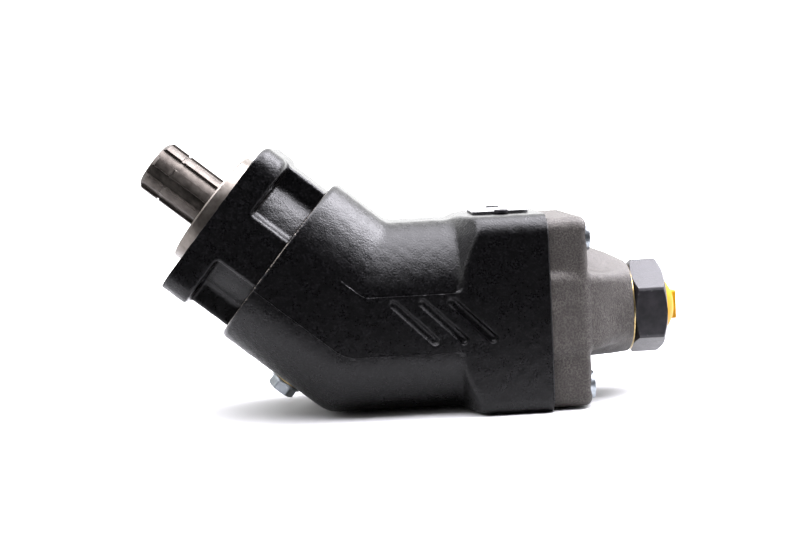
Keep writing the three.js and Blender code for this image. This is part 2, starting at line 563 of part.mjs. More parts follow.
function capGasket() {
  const plate = prism(capOutline(), BLOCK.end + 0.25, CAP.start - 0.25);
  const holes = capScrewPlaces().map(([x, y]) =>
    bar(CAP_SCREW.r + 0.5, BLOCK.end - 1, CAP.start + 1, x, y, 16));
  const channel = channelBar(TOP_PORT.channelR + 1, BLOCK.end - 1, CAP.start + 1);
  return cut(plate, bar(42.5, BLOCK.end - 1, CAP.start + 1, 0, 0, FINE), channel, ...holes);
}
place(barrelFrame, 'cap_gasket', capGasket(), MATERIALS.rubber);

function capScrew(x, y) {
  const { r, headR, headStart, headEnd, tip } = CAP_SCREW;
  const head = turned([
    [0, headStart], [headR, headStart], [headR, headEnd - 1], [headR - 1, headEnd], [0, headEnd],
  ], 24);
  const shank = bar(r, tip, headStart + 1, 0, 0, 16);
  return cut(union(head, shank), hexagonBar(8, headEnd - 4.5, headEnd + 1)).translate([x, y, 0]);
}
capScrewPlaces().forEach(([x, y], k) =>
  place(barrelFrame, `cap_screw_${k + 1}`, capScrew(x, y), MATERIALS.zinc));

// ---------------------------------------------------------------- port adapter, seal and shipping plug
const portFrame = new THREE.Group();
portFrame.position.x = -BOSS.z;
barrelFrame.add(portFrame);

const bondedSeal = ring(ADAPTER.threadR + 0.5, 29.2, BOSS.end + GAP, ADAPTER.start - GAP);
place(portFrame, 'bonded_seal', bondedSeal, MATERIALS.goldSeal);

function hoseAdapter() {
  const { start, end, acrossFlats, turn, threadR, boreR, socketR, socketStart } = ADAPTER;
  const widest = acrossFlats / Math.sqrt(3);
  const faceR = acrossFlats / 2 - 0.3;
  const chamfered = turned([
    [0, start], [faceR, start], [widest + 0.2, start + 2.6], [widest + 0.2, end - 2.6],
    [faceR, end], [0, end],
  ]);
  const hexagon = hexagonBar(acrossFlats, start, end, Math.PI / 6 + turn).intersect(chamfered);
  const tip = start - 22.4;
  const thread = turned([
    [0, tip], [threadR - 1.5, tip], [threadR, tip + 1.5], [threadR, start + 1], [0, start + 1],
  ], MEDIUM);
  const bore = bar(boreR, tip - 1, end + 1, 0, 0, MEDIUM);
  const socket = bar(socketR, socketStart, end + 1, 0, 0, MEDIUM);
  return cut(union(hexagon, thread), bore, socket);
}
place(portFrame, 'hose_adapter', hoseAdapter(), MATERIALS.darkSteel);

function shippingPlug() {
  const { stemR, headR, topR, headEnd, tabEnd, tabHalfHeight, tabHalfWidth } = PLUG;
  const stemStart = ADAPTER.socketStart + 1;
  const headStart = ADAPTER.end + GAP;
  const body = turned([
    [0, headStart], [stemR - 2.2, headStart], [stemR - 2.2, stemStart], [stemR - 0.6, stemStart],
    [stemR, stemStart + 1.5], [stemR, headStart], [headR, headStart], [headR, headStart + 2],
    [topR, headEnd], [0, headEnd],
  ], MEDIUM);
  const tab = box(-tabHalfHeight, tabHalfHeight, -tabHalfWidth, tabHalfWidth, headEnd - 1, tabEnd);
  return union(body, tab);
}
place(portFrame, 'shipping_plug', shippingPlug(), MATERIALS.yellowPlastic);

// ---------------------------------------------------------------- drain plug, in the bottom of the shaft arm
const drainFrame = new THREE.Group();
drainFrame.position.z = DRAIN.a;
drainFrame.rotation.y = -Math.PI / 2;
shaftFrame.add(drainFrame);

const washerFace = -DRAIN.face + GAP;
const drainWasher = ring(DRAIN.threadR + GAP, DRAIN.washerR, washerFace, washerFace + 1.4, MEDIUM);
place(drainFrame, 'drain_plug_washer', drainWasher, MATERIALS.goldSeal);
function drainPlug() {
  const headStart = washerFace + 1.4 + GAP;
  const headEnd = headStart + DRAIN.headHeight;
  const head = hexagonBar(DRAIN.headFlats, headStart, headEnd, Math.PI / 6);
  const dome = turned([
    [0, headStart], [10.4, headStart], [10.4, headEnd - 1.6], [8, headEnd], [0, headEnd],
  ], MEDIUM);
  return union(head.intersect(dome), bar(DRAIN.threadR, 48, headStart + 1, 0, 0, COARSE));
}
place(drainFrame, 'drain_plug', drainPlug(), MATERIALS.zinc);

// ---------------------------------------------------------------- cover over the top port
const coverFrame = new THREE.Group();
coverFrame.position.x = COVER.x;
assembly.add(coverFrame);

function coverSheet(z0, z1) {
  const half = COVER.length / 2;
  const sheet = prism(roundedRectangle(-half, half, -COVER.halfWidth, COVER.halfWidth, COVER.corner), z0, z1);
  const notchR = COVER_SCREW.headR + GAP;
  return cut(sheet, ...[-1, 1].map((side) => bar(notchR, z0 - 1, z1 + 1, 0, side * COVER_SCREW.y, 16)));
}
const gasketTop = BLOCK.top + GAP + COVER.gasket;
const plateTop = gasketTop + GAP + COVER.thickness;
const coverGasket = coverSheet(BLOCK.top + GAP, gasketTop).subtract(bar(TOP_PORT.r, 60, 70, 0, 0, MEDIUM));
place(coverFrame, 'cover_gasket', coverGasket, MATERIALS.rubber);
place(coverFrame, 'cover_plate', coverSheet(gasketTop + GAP, plateTop), MATERIALS.brightPlate);
function coverScrew(y) {
  const { r, headR, headHeight, tip } = COVER_SCREW;
  const headStart = BLOCK.top + GAP;
  const headEnd = headStart + headHeight;
  const head = turned([
    [0, headStart], [headR, headStart], [headR, headEnd - 0.6], [headR - 0.6, headEnd], [0, headEnd],
  ], 16);
  const socket = hexagonBar(4, headEnd - 1.6, headEnd + 1);
  return cut(union(head, bar(r, tip, headStart + 1, 0, 0, 12)), socket).translate([0, y, 0]);
}
place(coverFrame, 'cover_screw_1', coverScrew(-COVER_SCREW.y), MATERIALS.darkSteel);
place(coverFrame, 'cover_screw_2', coverScrew(COVER_SCREW.y), MATERIALS.darkSteel);

// ---------------------------------------------------------------- stand on Z = 0, centred on X and Y
const bounds = new THREE.Box3().setFromObject(assembly, true);
assembly.position.set(-(bounds.min.x + bounds.max.x) / 2, -(bounds.min.y + bounds.max.y) / 2, -bounds.min.z);

export default motor;
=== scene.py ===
"""Looks for a bent-axis hydraulic motor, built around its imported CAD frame.

Castings and machined pieces are drawn as distance fields in millimetres and meshed with dual contouring.
The work frame has its origin at the bend point: x along the barrel axis to the port cap, y away, z up.
The shaft frame shares that origin: n is up and square to the shaft, y away, a outwards along the shaft.
"""

import json
import math

import bpy
import numpy as np
from mathutils import Matrix, Vector


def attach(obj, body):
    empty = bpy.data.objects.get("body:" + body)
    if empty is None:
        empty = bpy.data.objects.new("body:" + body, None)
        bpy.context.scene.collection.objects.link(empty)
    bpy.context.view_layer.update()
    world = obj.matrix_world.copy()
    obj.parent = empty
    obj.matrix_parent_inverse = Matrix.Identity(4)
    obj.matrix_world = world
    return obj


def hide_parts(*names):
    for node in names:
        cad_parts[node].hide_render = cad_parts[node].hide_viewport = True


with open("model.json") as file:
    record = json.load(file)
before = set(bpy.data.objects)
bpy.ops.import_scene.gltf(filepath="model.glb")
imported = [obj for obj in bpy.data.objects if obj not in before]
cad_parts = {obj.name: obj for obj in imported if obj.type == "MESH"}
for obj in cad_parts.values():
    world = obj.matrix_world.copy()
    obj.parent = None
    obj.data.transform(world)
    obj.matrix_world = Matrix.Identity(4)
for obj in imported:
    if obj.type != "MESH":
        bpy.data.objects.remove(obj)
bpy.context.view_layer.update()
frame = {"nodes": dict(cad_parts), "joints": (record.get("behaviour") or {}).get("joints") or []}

MM = 0.001

# ---------------------------------------------------------------- the two frames, from the shaft's joint
shaft_joint = next(j for j in frame["joints"] if j["name"] == "shaft_spin")
ORIGIN = Vector(shaft_joint["pos_m"])
SHAFT_AXIS = Vector(shaft_joint["axis"])
SIN, COS = SHAFT_AXIS.z, -SHAFT_AXIS.x

WORK = Matrix.Translation(ORIGIN) @ Matrix.Scale(MM, 4)
SHAFT_TURN = Matrix(((SIN, 0, -COS), (0, 1, 0), (COS, 0, SIN))).to_4x4()
SHAFT = Matrix.Translation(ORIGIN) @ SHAFT_TURN @ Matrix.Scale(MM, 4)

# ---------------------------------------------------------------- camera, fitted to the photo
CAMERA_FROM_ORIGIN = Vector((0.019771, -0.806516, 0.102428))
CAMERA_RIGHT = Vector((0.998407, -0.021675, -0.052080))
CAMERA_UP = Vector((0.053871, 0.092453, 0.994259))
LENS_MM = 54.223
SENSOR_MM = 36.0
CLIP_START = 0.01


def add_camera():
    data = bpy.data.cameras.new("camera")
    data.lens = LENS_MM
    data.sensor_width = SENSOR_MM
    data.clip_start = CLIP_START
    camera = bpy.data.objects.new("camera", data)
    back = CAMERA_RIGHT.cross(CAMERA_UP)
    turn = Matrix((CAMERA_RIGHT, CAMERA_UP, back)).transposed()
    camera.matrix_world = Matrix.Translation(ORIGIN + CAMERA_FROM_ORIGIN) @ turn.to_4x4()
    bpy.context.scene.collection.objects.link(camera)
    bpy.context.scene.camera = camera


add_camera()


# ---------------------------------------------------------------- field helpers, all in millimetres
def sharp_union(*fields):
    out = fields[0]
    for field in fields[1:]:
        out = np.minimum(out, field)
    return out


def sharp_both(*fields):
    out = fields[0]
    for field in fields[1:]:
        out = np.maximum(out, field)
    return out


def fillet(a, b, r):
    """Union of a and b with a concave fillet of radius r."""
    return np.maximum(r, np.minimum(a, b)) - np.hypot(np.maximum(r - a, 0), np.maximum(r - b, 0))


def eased(a, b, r):
    """What a and b share, with the edge between them rounded to radius r."""
    return np.minimum(-r, np.maximum(a, b)) + np.hypot(np.maximum(r + a, 0), np.maximum(r + b, 0))


def soft_min(a, b, k):
    """The smaller of a and b, with the kink where they cross rounded over a width of k."""
    return np.minimum(a, b) - np.maximum(k - np.abs(a - b), 0) ** 2 / (4 * k)


def rectangle(u, v, half_u, half_v, r):
    """Rectangle about the origin with corners of radius r."""
    p = np.abs(u) - half_u + r
    q = np.abs(v) - half_v + r
    return np.minimum(np.maximum(p, q), 0) + np.hypot(np.maximum(p, 0), np.maximum(q, 0)) - r


def slab(w, low, high):
    """Everything between two planes across w."""
    return np.maximum(low - w, w - high)


def slanted(u, w, u_at, w_at, share_u, share_w):
    """Distance past a plane through (u_at, w_at), whose normal has the two shares."""
    return (u - u_at) * share_u + (w - w_at) * share_w


def rod(u, v, w, r, low, high, ease):
    """Round bar along w, with the edges of its ends rounded to radius ease."""
    return eased(np.hypot(u, v) - r, slab(w, low, high), ease)


def bore(u, v, w, r, low, high):
    """Round hole or step along w with sharp edges."""
    return np.maximum(np.hypot(u, v) - r, slab(w, low, high))


def hexagon(u, v, across, turn, ease):
    """Regular hexagon with a corner at angle turn from the u axis towards the v axis."""
    angle = np.arctan2(v, u) - turn
    sixth = math.pi / 3
    folded = np.mod(angle, sixth) - sixth / 2
    radius = np.hypot(u, v)
    flat = radius * np.cos(folded) - across / 2
    corner = radius - (across / math.sqrt(3) - ease)
    return np.maximum(flat, corner)


SKIN_DEPTH = 0.12


def cast_skin(x, y, z):
    """Slow unevenness of a sand-cast surface, a few millimetres to a centimetre from crest to crest."""
    first = np.sin(0.61 * x + 1.7 * np.sin(0.23 * y + 1.0)) * np.sin(0.53 * y + 1.3 * np.sin(0.29 * z))
    second = np.sin(0.57 * z + 1.5 * np.sin(0.21 * x)) * np.sin(0.35 * (x + y) + 0.7)
    return SKIN_DEPTH * 0.5 * (first + second)


# ---------------------------------------------------------------- dual contouring
# The slope step is a share of a cell; the pull keeps the point of an almost flat cell near its middle.
SAMPLES_AT_ONCE = 400000
REFINE_ROUNDS = 3
REFINE_MARGIN = 0.05
SLOPE_STEP = 0.02
PULL_TO_MIDDLE = 0.02


def refine(field, start, end, f0, f1):
    """Points where the field crosses zero on the edges from start to end."""
    t0 = np.zeros(len(f0))
    t1 = np.ones(len(f0))
    t = f0 / (f0 - f1)
    for _ in range(REFINE_ROUNDS):
        value = field(*(start + (end - start) * t[:, None]).T)
        same = (value < 0) == (f0 < 0)
        t0 = np.where(same, t, t0)
        f0 = np.where(same, value, f0)
        t1 = np.where(same, t1, t)
        f1 = np.where(same, f1, value)
        span = np.where(f0 == f1, 1, f0 - f1)
        t = t0 + (t1 - t0) * np.clip(f0 / span, REFINE_MARGIN, 1 - REFINE_MARGIN)
    return start + (end - start) * t[:, None]


def slope(field, points, h):
    """The field's unit gradient at the points, from differences over h each way."""
    parts = []
    for axis in range(3):
        step = np.zeros(3)
        step[axis] = h
        parts.append(field(*(points + step).T) - field(*(points - step).T))
    normal = np.stack(parts, 1)
    return normal / np.maximum(np.linalg.norm(normal, axis=1, keepdims=True), 1e-12)


def sampled(field, low, counts, step):
    """The field's values on a grid, taken some layers at a time."""
    axes = [(low[i] + step * np.arange(counts[i])).astype(np.float32) for i in range(3)]
    values = np.empty(counts, np.float32)
    rows = max(1, int(SAMPLES_AT_ONCE / (counts[1] * counts[2])))
    for first in range(0, counts[0], rows):
        grid = np.meshgrid(axes[0][first:first + rows], axes[1], axes[2], indexing="ij")
        values[first:first + rows] = field(*grid)
    values[values == 0] = 1e-6
    return values


def contour(field, low, high, step):
    """Vertices and quads of the field's zero surface, with its sharp edges kept."""
    low = np.array(low, float)
    counts = np.ceil((np.array(high, float) - low) / step).astype(int) + 1
    values = sampled(field, low, counts, step)
    inside = values < 0
    units = np.eye(3, dtype=int)

    def cell_id(cell):
        return (cell[:, 0] * counts[1] + cell[:, 1]) * counts[2] + cell[:, 2]

    rings, points, normals, flips = [], [], [], []
    for axis in range(3):
        near = [slice(1, None)] * 3
        near[axis] = slice(0, -1)
        far = [slice(1, None)] * 3
        index = np.argwhere(inside[tuple(near)] != inside[tuple(far)]) + 1 - units[axis]
        along, u, v = units[axis], units[(axis + 1) % 3], units[(axis + 2) % 3]
        f0 = values[tuple(index.T)].astype(float)
        f1 = values[tuple((index + along).T)].astype(float)
        found = refine(field, low + step * index, low + step * (index + along), f0, f1)
        points.append(found)
        normals.append(slope(field, found, SLOPE_STEP * step))
        rings.append(np.stack([cell_id(c) for c in (index - u - v, index - v, index, index - u)], 1))
        flips.append(f0 > 0)
    rings = np.concatenate(rings)
    points = np.concatenate(points)
    normals = np.concatenate(normals)
    flips = np.concatenate(flips)
    cells, quads = np.unique(rings, return_inverse=True)
    quads = quads.reshape(rings.shape)
    flat = quads.ravel()
    edge = np.repeat(np.arange(len(points)), 4)

    def total(column):
        """Sum of a value over the crossed edges of each cell."""
        return np.bincount(flat, weights=column[edge], minlength=len(cells))

    count = np.bincount(flat, minlength=len(cells)).astype(float)
    centre = np.stack([total(points[:, i]) for i in range(3)], 1) / count[:, None]
    distance = np.einsum("ij,ij->i", normals, points)
    matrix = np.empty((len(cells), 3, 3))
    right = np.empty((len(cells), 3))
    for i in range(3):
        right[:, i] = total(normals[:, i] * distance)
        for j in range(3):
            matrix[:, i, j] = total(normals[:, i] * normals[:, j])
    right -= np.einsum("kij,kj->ki", matrix, centre)
    matrix += np.eye(3) * PULL_TO_MIDDLE * count[:, None, None]
    vertices = centre + np.linalg.solve(matrix, right[:, :, None])[:, :, 0]
    cell = np.stack(np.unravel_index(cells, counts), 1)
    lowest = low + step * cell
    vertices = np.clip(vertices, lowest, lowest + step)
    quads[flips] = quads[flips][:, ::-1]
    return vertices, quads


def contour_about_axis(field, half, low, high, step):
    """The same for a piece about its third axis, in a box of the given half width."""
    return contour(field, (-half, -half, low), (half, half, high), step)


# ---------------------------------------------------------------- meshes and pieces
CREASE_ANGLE = math.radians(35)


def add_mesh(name, vertices, faces, to_row, materials, pick):
    """A Blender object from local millimetre vertices; pick gives each face's material from its middle."""
    turn = np.array(to_row)
    placed = vertices @ turn[:3, :3].T + turn[:3, 3]
    mesh = bpy.data.meshes.new(name)
    mesh.vertices.add(len(placed))
    mesh.vertices.foreach_set("co", placed.astype(np.float32).ravel())
    corners = faces.shape[1]
    mesh.loops.add(faces.size)
    mesh.loops.foreach_set("vertex_index", faces.ravel().astype(np.int32))
    mesh.polygons.add(len(faces))
    mesh.polygons.foreach_set("loop_start", np.arange(0, faces.size, corners, dtype=np.int32))
    mesh.update(calc_edges=True)
    for material in materials:
        mesh.materials.append(material)
    if pick is not None:
        middle = vertices[faces].mean(axis=1)
        mesh.polygons.foreach_set("material_index", pick(*middle.T).astype(np.int32))
    mesh.polygons.foreach_set("use_smooth", np.ones(len(faces), bool))
    mesh.set_sharp_from_angle(angle=CREASE_ANGLE)
    mesh.validate()
    obj = bpy.data.objects.new(name, mesh)
    bpy.context.scene.collection.objects.link(obj)
    return obj


def add_piece(name, surface, to_row, slot, node, body="housing", finishes=None, pick=None):
    """A meshed piece in the place of its CAD node, with its slot's own finish unless others are named."""
    materials = [MATERIALS[finish] for finish in finishes or (slot,)]
    obj = add_mesh(name, *surface, to_row, materials, pick)
    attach(obj, body)
    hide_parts(node)


def moved(surface, offset):
    vertices, faces = surface
    return vertices + np.array(offset), faces


# ---------------------------------------------------------------- materials
class Paint:
    """A small helper that adds nodes to one material around its shader."""

    def __init__(self, name, metallic=0.0, level=0.5):
        self.material = bpy.data.materials.new(name)
        self.material.use_nodes = True
        self.tree = self.material.node_tree
        self.shader = self.tree.nodes["Principled BSDF"]
        self.shader.inputs["Metallic"].default_value = metallic
        self.shader.inputs["Specular IOR Level"].default_value = level
        self.place = self.add("ShaderNodeTexCoord").outputs["Object"]

    def add(self, kind, **settings):
        node = self.tree.nodes.new(kind)
        for key, value in settings.items():
            setattr(node, key, value)
        return node

    def link(self, source, target):
        self.tree.links.new(source, target)

    def stretched(self, scale):
        node = self.add("ShaderNodeMapping")
        node.inputs["Scale"].default_value = scale
        self.link(self.place, node.inputs["Vector"])
        return node.outputs["Vector"]

    def noise(self, size, detail=3.0, roughness=0.55, vector=None):
        """Noise with features of about size millimetres, as its grey value."""
        node = self.add("ShaderNodeTexNoise")
        node.inputs["Scale"].default_value = 1 / (size * MM)
        node.inputs["Detail"].default_value = detail
        node.inputs["Roughness"].default_value = roughness
        self.link(vector or self.place, node.inputs["Vector"])
        return node.outputs["Fac"]

    def cells(self, size):
        """Distance from the nearest of scattered points, about size millimetres apart."""
        node = self.add("ShaderNodeTexVoronoi")
        node.inputs["Scale"].default_value = 1 / (size * MM)
        self.link(self.place, node.inputs["Vector"])
        return node.outputs["Distance"]

    def ramp(self, value, *stops):
        """stops are (position, grey or colour)."""
        node = self.add("ShaderNodeValToRGB")
        elements = node.color_ramp.elements
        while len(elements) < len(stops):
            elements.new(0.5)
        for element, (position, colour) in zip(elements, stops):
            element.position = position
            element.color = (*colour, 1) if isinstance(colour, tuple) else (colour, colour, colour, 1)
        self.link(value, node.inputs["Fac"])
        return node.outputs["Color"]

    def mix(self, share, first, second):
        node = self.add("ShaderNodeMix", data_type="RGBA")
        self.link(share, node.inputs["Factor"])
        for slot, value in (("A", first), ("B", second)):
            socket = next(s for s in node.inputs if s.name == slot and s.type == "RGBA")
            if isinstance(value, tuple):
                socket.default_value = (*value, 1)
            else:
                self.link(value, socket)
        return next(s for s in node.outputs if s.type == "RGBA")

    def maths(self, operation, first, second):
        node = self.add("ShaderNodeMath", operation=operation)
        self.link(first, node.inputs[0])
        if isinstance(second, float):
            node.inputs[1].default_value = second
        else:
            self.link(second, node.inputs[1])
        return node.outputs[0]

    def times(self, first, second):
        return self.maths("MULTIPLY", first, second)

    def plus(self, first, second):
        return self.maths("ADD", first, second)

    def bump(self, height, depth, normal=None):
        """depth is in millimetres."""
        node = self.add("ShaderNodeBump")
        node.inputs["Distance"].default_value = depth * MM
        self.link(height, node.inputs["Height"])
        if normal is not None:
            self.link(normal, node.inputs["Normal"])
        return node.outputs["Normal"]

    def edges(self, low, high):
        """White where the surface turns a convex edge."""
        return self.ramp(self.add("ShaderNodeNewGeometry").outputs["Pointiness"], (low, 0.0), (high, 1.0))

    def finish(self, colour, roughness, normal):
        self.link(colour, self.shader.inputs["Base Color"])
        self.link(roughness, self.shader.inputs["Roughness"])
        self.link(normal, self.shader.inputs["Normal"])
        return self.material


def black_paint():
    """Semi-gloss paint over a grainy casting, with few grey specks and edges worn a little."""
    p = Paint("black_casting_paint", level=0.2)
    grain = p.noise(1.3, 3.0, 0.6)
    pits = p.noise(0.75, 2.0, 0.5)
    swell = p.noise(7.0, 2.0, 0.5)
    tone = p.ramp(
        grain, (0.48, (0.0007, 0.0007, 0.0008)), (0.55, (0.0013, 0.0012, 0.0015)),
        (0.66, (0.0060, 0.0058, 0.0064)))
    speck_place = p.ramp(p.cells(4.5), (0.04, 1.0), (0.08, 0.0))
    speck_choice = p.ramp(p.noise(14.0, 1.0), (0.60, 0.0), (0.64, 1.0))
    worn = p.times(p.edges(0.54, 0.62), p.ramp(p.noise(1.6, 3.0), (0.52, 0.0), (0.62, 1.0)))
    colour = p.mix(p.times(speck_place, speck_choice), tone, (0.014, 0.0135, 0.013))
    colour = p.mix(p.times(worn, 0.5), colour, (0.02, 0.02, 0.02))
    rough = p.ramp(p.plus(p.times(grain, 0.6), p.times(swell, 0.4)), (0.3, 0.24), (0.7, 0.36))
    normal = p.bump(grain, 0.32)
    normal = p.bump(pits, 0.12, normal=normal)
    return p.finish(colour, rough, normal)


def bare_iron():
    """Unpainted sand-cast iron: brown-grey, with dark grain and lighter edges."""
    p = Paint("bare_cast_iron", metallic=0.35, level=0.4)
    grain = p.noise(1.2, 4.0, 0.65)
    stain = p.noise(12.0, 3.0, 0.6)
    colour = p.ramp(stain, (0.3, (0.038, 0.034, 0.030)), (0.7, (0.062, 0.056, 0.050)))
    colour = p.mix(p.ramp(grain, (0.42, 0.0), (0.60, 1.0)), (0.020, 0.017, 0.015), colour)
    colour = p.mix(p.edges(0.55, 0.66), colour, (0.11, 0.10, 0.09))
    rough = p.ramp(grain, (0.3, 0.50), (0.7, 0.68))
    normal = p.bump(grain, 0.45)
    return p.finish(colour, rough, p.bump(p.noise(0.45, 2.0), 0.08, normal=normal))


def metal(name, dark, light, rough, grain_mm, depth, metallic=1.0, lines=None, worn=None, level=0.5):
    """Machined or plated metal from dark to light, with rough as the range of its roughness.

    lines is the scale that stretches fine tool marks, and worn the colour of nicks along the edges.
    """
    p = Paint(name, metallic=metallic, level=level)
    cloud = p.noise(max(6.0, 4 * grain_mm), 3.0, 0.6)
    fine = p.noise(grain_mm, 3.0, 0.6, vector=p.stretched(lines) if lines else None)
    colour = p.ramp(cloud, (0.32, dark), (0.68, light))
    if worn:
        nicks = p.ramp(p.noise(1.6, 4.0, 0.7), (0.60, 0.0), (0.68, 1.0))
        colour = p.mix(p.times(nicks, p.edges(0.50, 0.62)), colour, worn)
    low, high = rough
    matt = p.ramp(p.plus(p.times(cloud, 0.5), p.times(fine, 0.5)), (0.32, low), (0.68, high))
    return p.finish(colour, matt, p.bump(fine, depth))


def plastic():
    p = Paint("yellow_plastic", level=0.15)
    p.shader.inputs["Subsurface Weight"].default_value = 0.15
    p.shader.inputs["Subsurface Radius"].default_value = (1.0, 0.6, 0.1)
    p.shader.inputs["Subsurface Scale"].default_value = 0.002
    cloud = p.noise(7.0, 2.0)
    colour = p.ramp(cloud, (0.3, (0.26, 0.128, 0.001)), (0.7, (0.33, 0.175, 0.002)))
    return p.finish(colour, p.ramp(cloud, (0.3, 0.45), (0.7, 0.60)), p.bump(p.noise(0.9, 2.0), 0.05))


def rubber():
    p = Paint("black_rubber", level=0.4)
    fine = p.noise(0.8, 3.0)
    colour = p.ramp(p.noise(6.0, 2.0), (0.3, (0.010, 0.010, 0.010)), (0.7, (0.022, 0.022, 0.023)))
    return p.finish(colour, p.ramp(fine, (0.3, 0.55), (0.7, 0.75)), p.bump(fine, 0.06))


AROUND_SHAFT = (0.25, 1.0, 0.25)
MATERIALS = {
    "black_casting": black_paint(),
    "bare_iron": bare_iron(),
    "machined_steel": metal(
        "machined_steel", (0.10, 0.087, 0.075), (0.16, 0.144, 0.128), rough=(0.28, 0.45),
        grain_mm=0.9, depth=0.05, metallic=0.9, lines=AROUND_SHAFT, worn=(0.55, 0.52, 0.48)),
    "shaft_steel": metal(
        "shaft_steel", (0.034, 0.029, 0.025), (0.074, 0.065, 0.057), rough=(0.36, 0.50),
        grain_mm=0.9, depth=0.05, metallic=0.85, lines=AROUND_SHAFT, worn=(0.30, 0.28, 0.26)),
    "bearing_steel": metal(
        "bearing_steel", (0.50, 0.51, 0.52), (0.62, 0.63, 0.65), rough=(0.16, 0.26),
        grain_mm=0.6, depth=0.01),
    "dark_steel": metal(
        "phosphated_steel", (0.006, 0.006, 0.007), (0.014, 0.013, 0.015), rough=(0.30, 0.46),
        grain_mm=1.0, depth=0.10, metallic=0.2, worn=(0.20, 0.19, 0.19), level=0.28),
    "zinc_steel": metal(
        "zinc_plate", (0.20, 0.22, 0.235), (0.34, 0.365, 0.39), rough=(0.26, 0.42),
        grain_mm=0.8, depth=0.05),
    "bright_steel": metal(
        "bright_plate", (0.40, 0.40, 0.41), (0.55, 0.55, 0.56), rough=(0.25, 0.42),
        grain_mm=1.2, depth=0.03),
    "gold_zinc": metal(
        "yellow_passivated", (0.26, 0.19, 0.08), (0.40, 0.32, 0.17), rough=(0.24, 0.38),
        grain_mm=0.8, depth=0.03),
    "bronze": metal(
        "bronze", (0.34, 0.20, 0.08), (0.50, 0.32, 0.14), rough=(0.28, 0.42),
        grain_mm=0.8, depth=0.04),
    "rubber": rubber(),
    "yellow_plastic": plastic(),
}

# ---------------------------------------------------------------- bearing housing, in the shaft frame
FLANGE_BACK, FLANGE_FACE, FLANGE_HALF, FLANGE_CORNER_R = 92.8, 111.1, 55.0, 16
SEAM = 64.2
NECK_R = 47
WEB_HEIGHT, WEB_HALF, PAD_HALF = 53, 28, 18
CAST_FILLET = 2.6
PILOT_R, PILOT_END = 40, 120
SPIGOT_R, SPIGOT_START = 41, 31
# Beyond everything in the housing, where holes that break out of it end.
OUTSIDE = 125
# Radius, start and end of each turned bore.
REAR_BEARING_BORE = (38.2, 20, 53.3)
SHAFT_PASSAGE = (29, 52, 70)
CIRCLIP_GROOVE = (35.9, 107.8, 110.2)
FRONT_BORE_R, FRONT_BORE_START = 34.1, 69
BOLT_AT, BOLT_HOLE_R = 40, 6.5
SCREW_PITCH, SCREW_HOLE_R = 47.5, 4.35
SCREW_SEAT_R, SCREW_SEAT_AT, SEAT_WALL = 6.9, 101.7, 1.2
HALF_ROOT = 0.7071


def from_housing_screws(n, y):
    """Distance from the nearest of the four long screws' axes: at the top, bottom, near and far side."""
    u, v = np.abs(n), np.abs(y)
    return np.minimum(np.hypot(u - SCREW_PITCH, v), np.hypot(u, v - SCREW_PITCH))


def bearing_casting(n, y, a):
    """The flange, whose edges are rounder at the top, and the neck with its webs and side pads."""
    outline = rectangle(n, y, FLANGE_HALF, FLANGE_HALF, FLANGE_CORNER_R)
    at_top = np.clip((n - 42) / 10, 0, 1)
    flange = eased(outline, FLANGE_BACK - a, 2.2 + 4 * at_top)
    flange = eased(flange, a - FLANGE_FACE, 0.7 + 2.6 * at_top)
    neck = fillet(np.hypot(n, y) - NECK_R, rectangle(n, y, WEB_HEIGHT, WEB_HALF, 2.2), CAST_FILLET)
    neck = fillet(neck, rectangle(n + 1, y, PAD_HALF, FLANGE_HALF, 2.8), CAST_FILLET)
    neck = np.maximum(eased(neck, SEAM - a, 0.5), a - (FLANGE_FACE - 4))
    casting = np.maximum(fillet(flange, neck, CAST_FILLET), outline) + cast_skin(n, y, a)
    return sharp_both(casting, a - FLANGE_FACE, SEAM - a)


def bearing_housing(n, y, a):
    radius = np.hypot(n, y)
    chamfer = (radius - PILOT_R + a - (PILOT_END - 1)) * HALF_ROOT
    pilot = sharp_both(radius - PILOT_R, a - PILOT_END, chamfer, FLANGE_FACE - 5 - a)
    spigot = rod(n, y, a, SPIGOT_R, SPIGOT_START, SEAM + 1, 0.8)
    whole = fillet(sharp_union(bearing_casting(n, y, a), spigot), pilot, 0.6)
    front_bore = radius - FRONT_BORE_R - np.maximum(a - (PILOT_END - 1), 0)
    o_ring_groove = sharp_both(38.6 - radius, radius - 43, slab(a, 58.5, 61.5))
    from_bolts = np.hypot(np.abs(n) - BOLT_AT, np.abs(y) - BOLT_AT)
    bolt_holes = from_bolts - BOLT_HOLE_R - np.maximum(a - FLANGE_FACE + 0.8, 0)
    from_screws = from_housing_screws(n, y)
    screw_seats = sharp_both(
        from_screws - SCREW_SEAT_R, slab(a, SCREW_SEAT_AT, OUTSIDE),
        np.maximum(np.abs(n), np.abs(y)) - FLANGE_HALF + SEAT_WALL,
    )
    cuts = sharp_union(
        bore(n, y, a, *REAR_BEARING_BORE),
        bore(n, y, a, *SHAFT_PASSAGE),
        np.maximum(front_bore, slab(a, FRONT_BORE_START, OUTSIDE)),
        bore(n, y, a, *CIRCLIP_GROOVE),
        o_ring_groove, bolt_holes, screw_seats,
        np.maximum(from_screws - SCREW_HOLE_R, slab(a, SEAM - 2, OUTSIDE)),
    )
    return np.maximum(whole, -cuts)


def machined_on_bearing_housing(n, y, a):
    return (a > FLANGE_FACE + 0.4) | (a < SEAM + 0.02) | (np.hypot(n, y) < PILOT_R)


add_piece(
    "bearing_housing_casting", contour_about_axis(bearing_housing, 57, 29.5, 122, 0.85), SHAFT,
    "black_casting", "bearing_housing", finishes=("black_casting", "machined_steel"),
    pick=machined_on_bearing_housing)

# ---------------------------------------------------------------- barrel housing, in the work frame
BAND_MIDDLE, BAND_HALF, SIDE = -1.5, 18.5, 60.2
